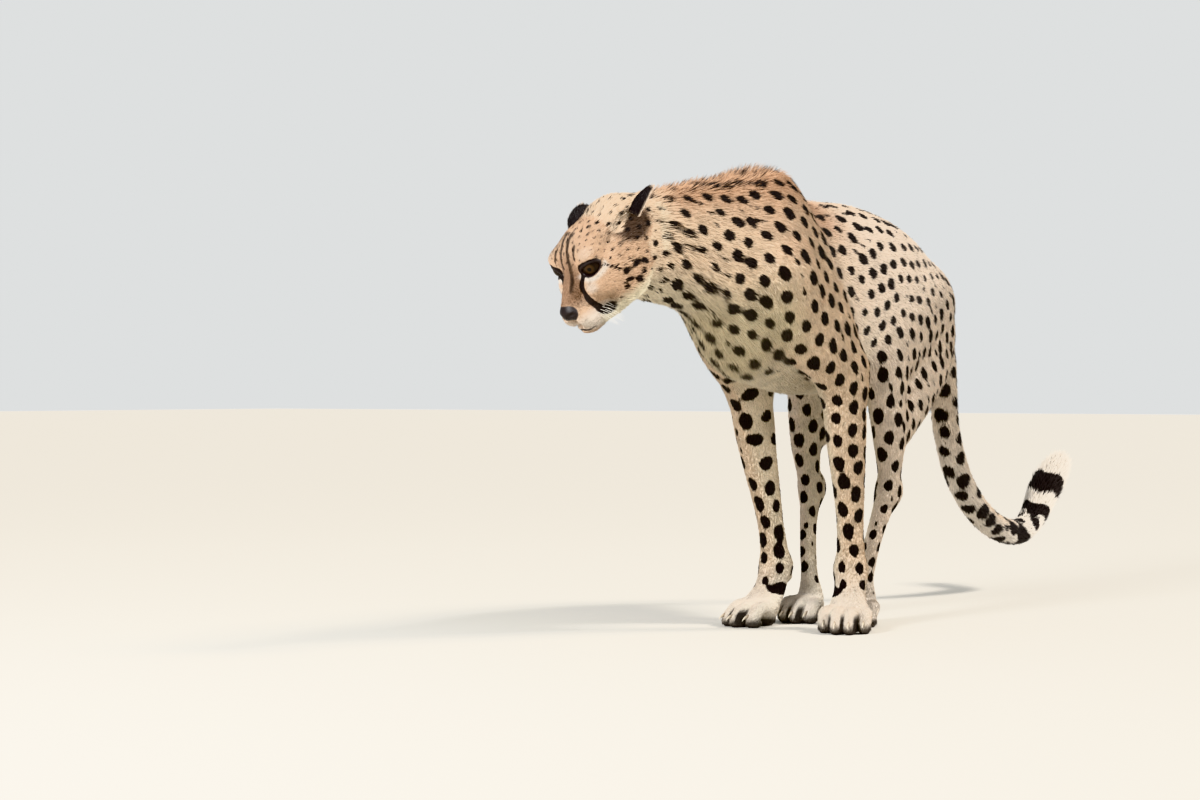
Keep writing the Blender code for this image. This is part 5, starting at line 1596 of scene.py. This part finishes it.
def eye_material(name, centre, axes):
    """An eye under its wet film: colour by the distance from where it looks."""
    material, tree, shader = new_material(name)
    place = add(tree, "ShaderNodeTexCoord").outputs["Object"]
    turn = Matrix([list(axis) for axis in axes])
    moved = add(tree, "ShaderNodeVectorMath", {0: place, 1: tuple(centre)},
                operation="SUBTRACT").outputs[0]
    local = add(tree, "ShaderNodeMapping", {"Vector": moved, "Rotation": turn.to_euler()}).outputs[0]
    parts = add(tree, "ShaderNodeSeparateXYZ", {0: local}).outputs
    flat = add(tree, "ShaderNodeCombineXYZ", {"X": parts["X"], "Y": parts["Y"]}).outputs[0]
    radius = add(tree, "ShaderNodeVectorMath", {0: flat}, operation="LENGTH").outputs["Value"]
    angle = add(tree, "ShaderNodeMath", {0: parts["Y"], 1: parts["X"]}, operation="ARCTAN2").outputs[0]
    # Fine furrows run out from the pupil, about nine in a radian.
    spokes = add(tree, "ShaderNodeTexNoise", {
        "Vector": add(tree, "ShaderNodeCombineXYZ", {"X": angle, "Y": radius}).outputs[0],
        "Scale": 9.0, "Detail": 4.0}).outputs["Fac"]
    outward_share = add(tree, "ShaderNodeMath", {0: radius, 1: 1.0 / MAP_RADIUS},
                        operation="MULTIPLY").outputs[0]
    ramp = add(tree, "ShaderNodeValToRGB", {"Fac": outward_share})
    pupil, iris = PUPIL_RADIUS / MAP_RADIUS, IRIS_RADIUS / MAP_RADIUS
    # Painted shade: the iris stops are near-black browns for the shade of the brow and lids over the eye.
    stops = ((0.0, "#050303"), (pupil - 0.02, "#050303"), (pupil + 0.02, "#2E1D0E"), (0.48, "#2C1E10"),
             (iris - 0.06, "#170F08"), (iris, "#120A06"), (0.80, "#1A100B"))
    ramp.color_ramp.elements[0].position = stops[0][0]
    ramp.color_ramp.elements[0].color = hex_colour(stops[0][1])
    ramp.color_ramp.elements[1].position = stops[-1][0]
    ramp.color_ramp.elements[1].color = hex_colour(stops[-1][1])
    for position, colour in stops[1:-1]:
        ramp.color_ramp.elements.new(position).color = hex_colour(colour)
    tone = add(tree, "ShaderNodeMapRange", {"Value": spokes, "From Min": 0.3, "From Max": 0.7,
                                            "To Min": 0.6, "To Max": 1.35}).outputs[0]
    own = add(tree, "ShaderNodeVectorMath", {0: ramp.outputs[0], "Scale": tone}, operation="SCALE")
    tree.links.new(own.outputs[0], shader.inputs["Base Color"])
    shader.inputs["Roughness"].default_value = 0.60
    shader.inputs["Specular IOR Level"].default_value = 0.05
    shader.inputs["Coat Weight"].default_value = 0.55
    shader.inputs["Coat Roughness"].default_value = 0.02
    shader.inputs["Coat IOR"].default_value = 1.38
    return material


for side, sign in (("left", 1.0), ("right", -1.0)):
    low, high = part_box("eye_" + side)
    centre = np.array((low + high) / 2.0)
    axes = eye_axes(sign)
    globe = bmesh.new()
    bmesh.ops.create_uvsphere(globe, u_segments=64, v_segments=48, radius=EYE_RADIUS)
    for vertex in globe.verts:
        tilt = math.degrees(vertex.co.angle(Vector((0.0, 0.0, 1.0))))
        vertex.co *= 1.0 + CORNEA_BULGE * float(1.0 - smoothstep(BULGE_FROM, BULGE_TO, tilt))
    eye_mesh = bpy.data.meshes.new("eyeball_" + side)
    globe.to_mesh(eye_mesh)
    globe.free()
    frame_of_eye = np.array((axes[0], np.cross(axes[2], axes[0]), axes[2]))
    eye_turn = Matrix([list(axis) for axis in frame_of_eye]).transposed()
    eye_mesh.transform(Matrix.Translation(centre) @ eye_turn.to_4x4())
    eye_mesh.shade_smooth()
    eye = bpy.data.objects.new("eyeball_" + side, eye_mesh)
    bpy.context.collection.objects.link(eye)
    eye.data.materials.append(eye_material("wet_eye_" + side, centre, frame_of_eye))
    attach(eye, "root")
    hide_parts("eye_" + side)

# =================================================================== the claws
# Blunt, hooked claws of horn, pale towards the point, that show at the toes.
CLAW_LENGTH, CLAW_RINGS, CLAW_SIDES = 0.0135, 14, 16
CLAW_CURL = 1.25             # radians through which its centre line turns


def claw_material():
    """Horn: translucent grey-brown at the root, worn pale at the point."""
    material, tree, shader = new_material("horn_claw")
    along = add(tree, "ShaderNodeAttribute", attribute_name="along").outputs["Fac"]
    place = add(tree, "ShaderNodeTexCoord").outputs["Object"]
    # The horn is clouded in specks of about 2 mm.
    grain = add(tree, "ShaderNodeTexNoise", {"Vector": place, "Scale": 500.0,
                                             "Detail": 3.0}).outputs["Fac"]
    grained = add(tree, "ShaderNodeMath", {0: grain, 1: 0.35, 2: along},
                  operation="MULTIPLY_ADD").outputs[0]
    share = add(tree, "ShaderNodeMapRange", {"Value": grained, "From Min": 0.2,
                                             "From Max": 1.1}).outputs[0]
    colour = add(tree, "ShaderNodeMix", {"Factor": share, "A": hex_colour("#6B5A49"),
                                         "B": hex_colour("#D8CDB8")}, data_type="RGBA")
    tree.links.new(colour.outputs["Result"], shader.inputs["Base Color"])
    shader.inputs["Roughness"].default_value = 0.35
    return material


HORN = claw_material()
for side, sign in (("left", 1.0), ("right", -1.0)):
    for limb, place, turn, width in (("fore", forepaw_place(side), FOREPAW_TURN[side], FOREPAW_WIDTH),
                                     ("hind", HINDPAW_PLACE, HINDPAW_TURN, HINDPAW_WIDTH)):
        forward, outward = paw_directions(turn, sign)
        up = np.array((0.0, 0.0, 1.0))
        base = np.array((place[0] * sign, place[1], 0.0)) + STAND
        for number, (sideways, reach, radius) in enumerate(toe_plan(width), start=1):
            root = base + outward * sideways + forward * (reach + radius * 0.60) + up * 0.0185
            vertices, along = [], []
            for step in range(CLAW_RINGS):
                t = step / (CLAW_RINGS - 1)
                centre = root + forward * CLAW_LENGTH * math.sin(CLAW_CURL * t) \
                    - up * CLAW_LENGTH * 0.80 * (1.0 - math.cos(CLAW_CURL * t))
                thickness = CLAW_LENGTH * 0.20 * max(1.0 - t, 0.0) ** 0.7 + 0.0001
                for turned in range(CLAW_SIDES):
                    angle = 2.0 * math.pi * turned / CLAW_SIDES
                    vertices.append(centre + thickness * (0.7 * outward * math.cos(angle)
                                                          + 1.2 * up * math.sin(angle)))
                    along.append(t)
            faces = []
            for step in range(CLAW_RINGS - 1):
                for turned in range(CLAW_SIDES):
                    corner = step * CLAW_SIDES + turned
                    following = step * CLAW_SIDES + (turned + 1) % CLAW_SIDES
                    faces.append((corner, following, following + CLAW_SIDES, corner + CLAW_SIDES))
            faces.append(tuple(reversed(range(CLAW_SIDES))))
            faces.append(tuple(range((CLAW_RINGS - 1) * CLAW_SIDES, CLAW_RINGS * CLAW_SIDES)))
            name = "%s_%s_%d" % (limb, side, number)
            claw = facing_outward(mesh_object("horn_" + name, np.array(vertices), faces))
            attribute = claw.data.attributes.new("along", "FLOAT", "POINT")
            attribute.data.foreach_set("value", np.array(along, np.float32))
            claw.data.shade_smooth()
            claw.data.materials.append(HORN)
            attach(claw, "root")
            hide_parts("claw_" + name)

# ============================================================== studio and camera
# A wide, plain floor in a pale room.  A soft sun stands high on the right, and a
# weaker lamp in front on the left opens the shadows.
CAMERA_PLACE = np.array((1.80, -3.118, 0.38)) + STAND
CAMERA_LOOK = np.array((-0.58001, 0.81461, -0.00448))
CAMERA_LENS = 66.96          # millimetres, on a 36 mm sensor
camera_data = bpy.data.cameras.new("camera")
camera_data.lens = CAMERA_LENS
camera_data.sensor_width = 36.0
camera = bpy.data.objects.new("camera", camera_data)
bpy.context.collection.objects.link(camera)
camera.location = CAMERA_PLACE
camera.rotation_euler = Vector(CAMERA_LOOK).to_track_quat("-Z", "Y").to_euler()
bpy.context.scene.camera = camera

# Painted board: an even, matt, pale grey that takes soft shadows and no reflections.
floor_material, _, floor_shader = new_material("studio_floor")
floor_shader.inputs["Base Color"].default_value = hex_colour("#C4C0B8")
floor_shader.inputs["Roughness"].default_value = 0.9
floor = mesh_object("floor", np.array([(-30.0, -30.0, 0.0), (30.0, -30.0, 0.0), (30.0, 30.0, 0.0),
                                       (-30.0, 30.0, 0.0)]), [(0, 1, 2, 3)])
floor.data.materials.append(floor_material)

RIGHT, AWAY = np.array((0.81461, 0.58001, 0.0)), np.array((-0.58001, 0.81461, 0.0))
middle = np.array((cad_box[0] + cad_box[1]) / 2.0)


def soft_light(name, place, size, watts, colour):
    data = bpy.data.lights.new(name, "AREA")
    data.shape = "DISK"
    data.size = size
    data.energy = watts
    data.color = tuple(linear(colour))
    lamp = bpy.data.objects.new(name, data)
    bpy.context.collection.objects.link(lamp)
    lamp.location = middle + place
    lamp.rotation_euler = (-Vector(place)).to_track_quat("-Z", "Y").to_euler()


sun_data = bpy.data.lights.new("key", "SUN")
sun_data.energy = 4.6
sun_data.angle = 0.22
sun_data.color = tuple(linear("#FFF7EE"))
sun = bpy.data.objects.new("key", sun_data)
bpy.context.collection.objects.link(sun)
key_from = RIGHT * 0.72 - AWAY * 0.08 + np.array((0.0, 0.0, 0.70))
sun.rotation_euler = Vector(-key_from).to_track_quat("-Z", "Y").to_euler()
soft_light("fill", RIGHT * -1.9 - AWAY * 2.4 + np.array((0.0, 0.0, 1.2)), 0.8, 132.0, "#FFFFFF")
world = bpy.data.worlds.new("studio")
world.use_nodes = True
world.node_tree.nodes["Background"].inputs["Color"].default_value = hex_colour("#E4E6E6")
world.node_tree.nodes["Background"].inputs["Strength"].default_value = 1.0
bpy.context.scene.world = world
bpy.context.scene.view_settings.view_transform = "Khronos PBR Neutral"
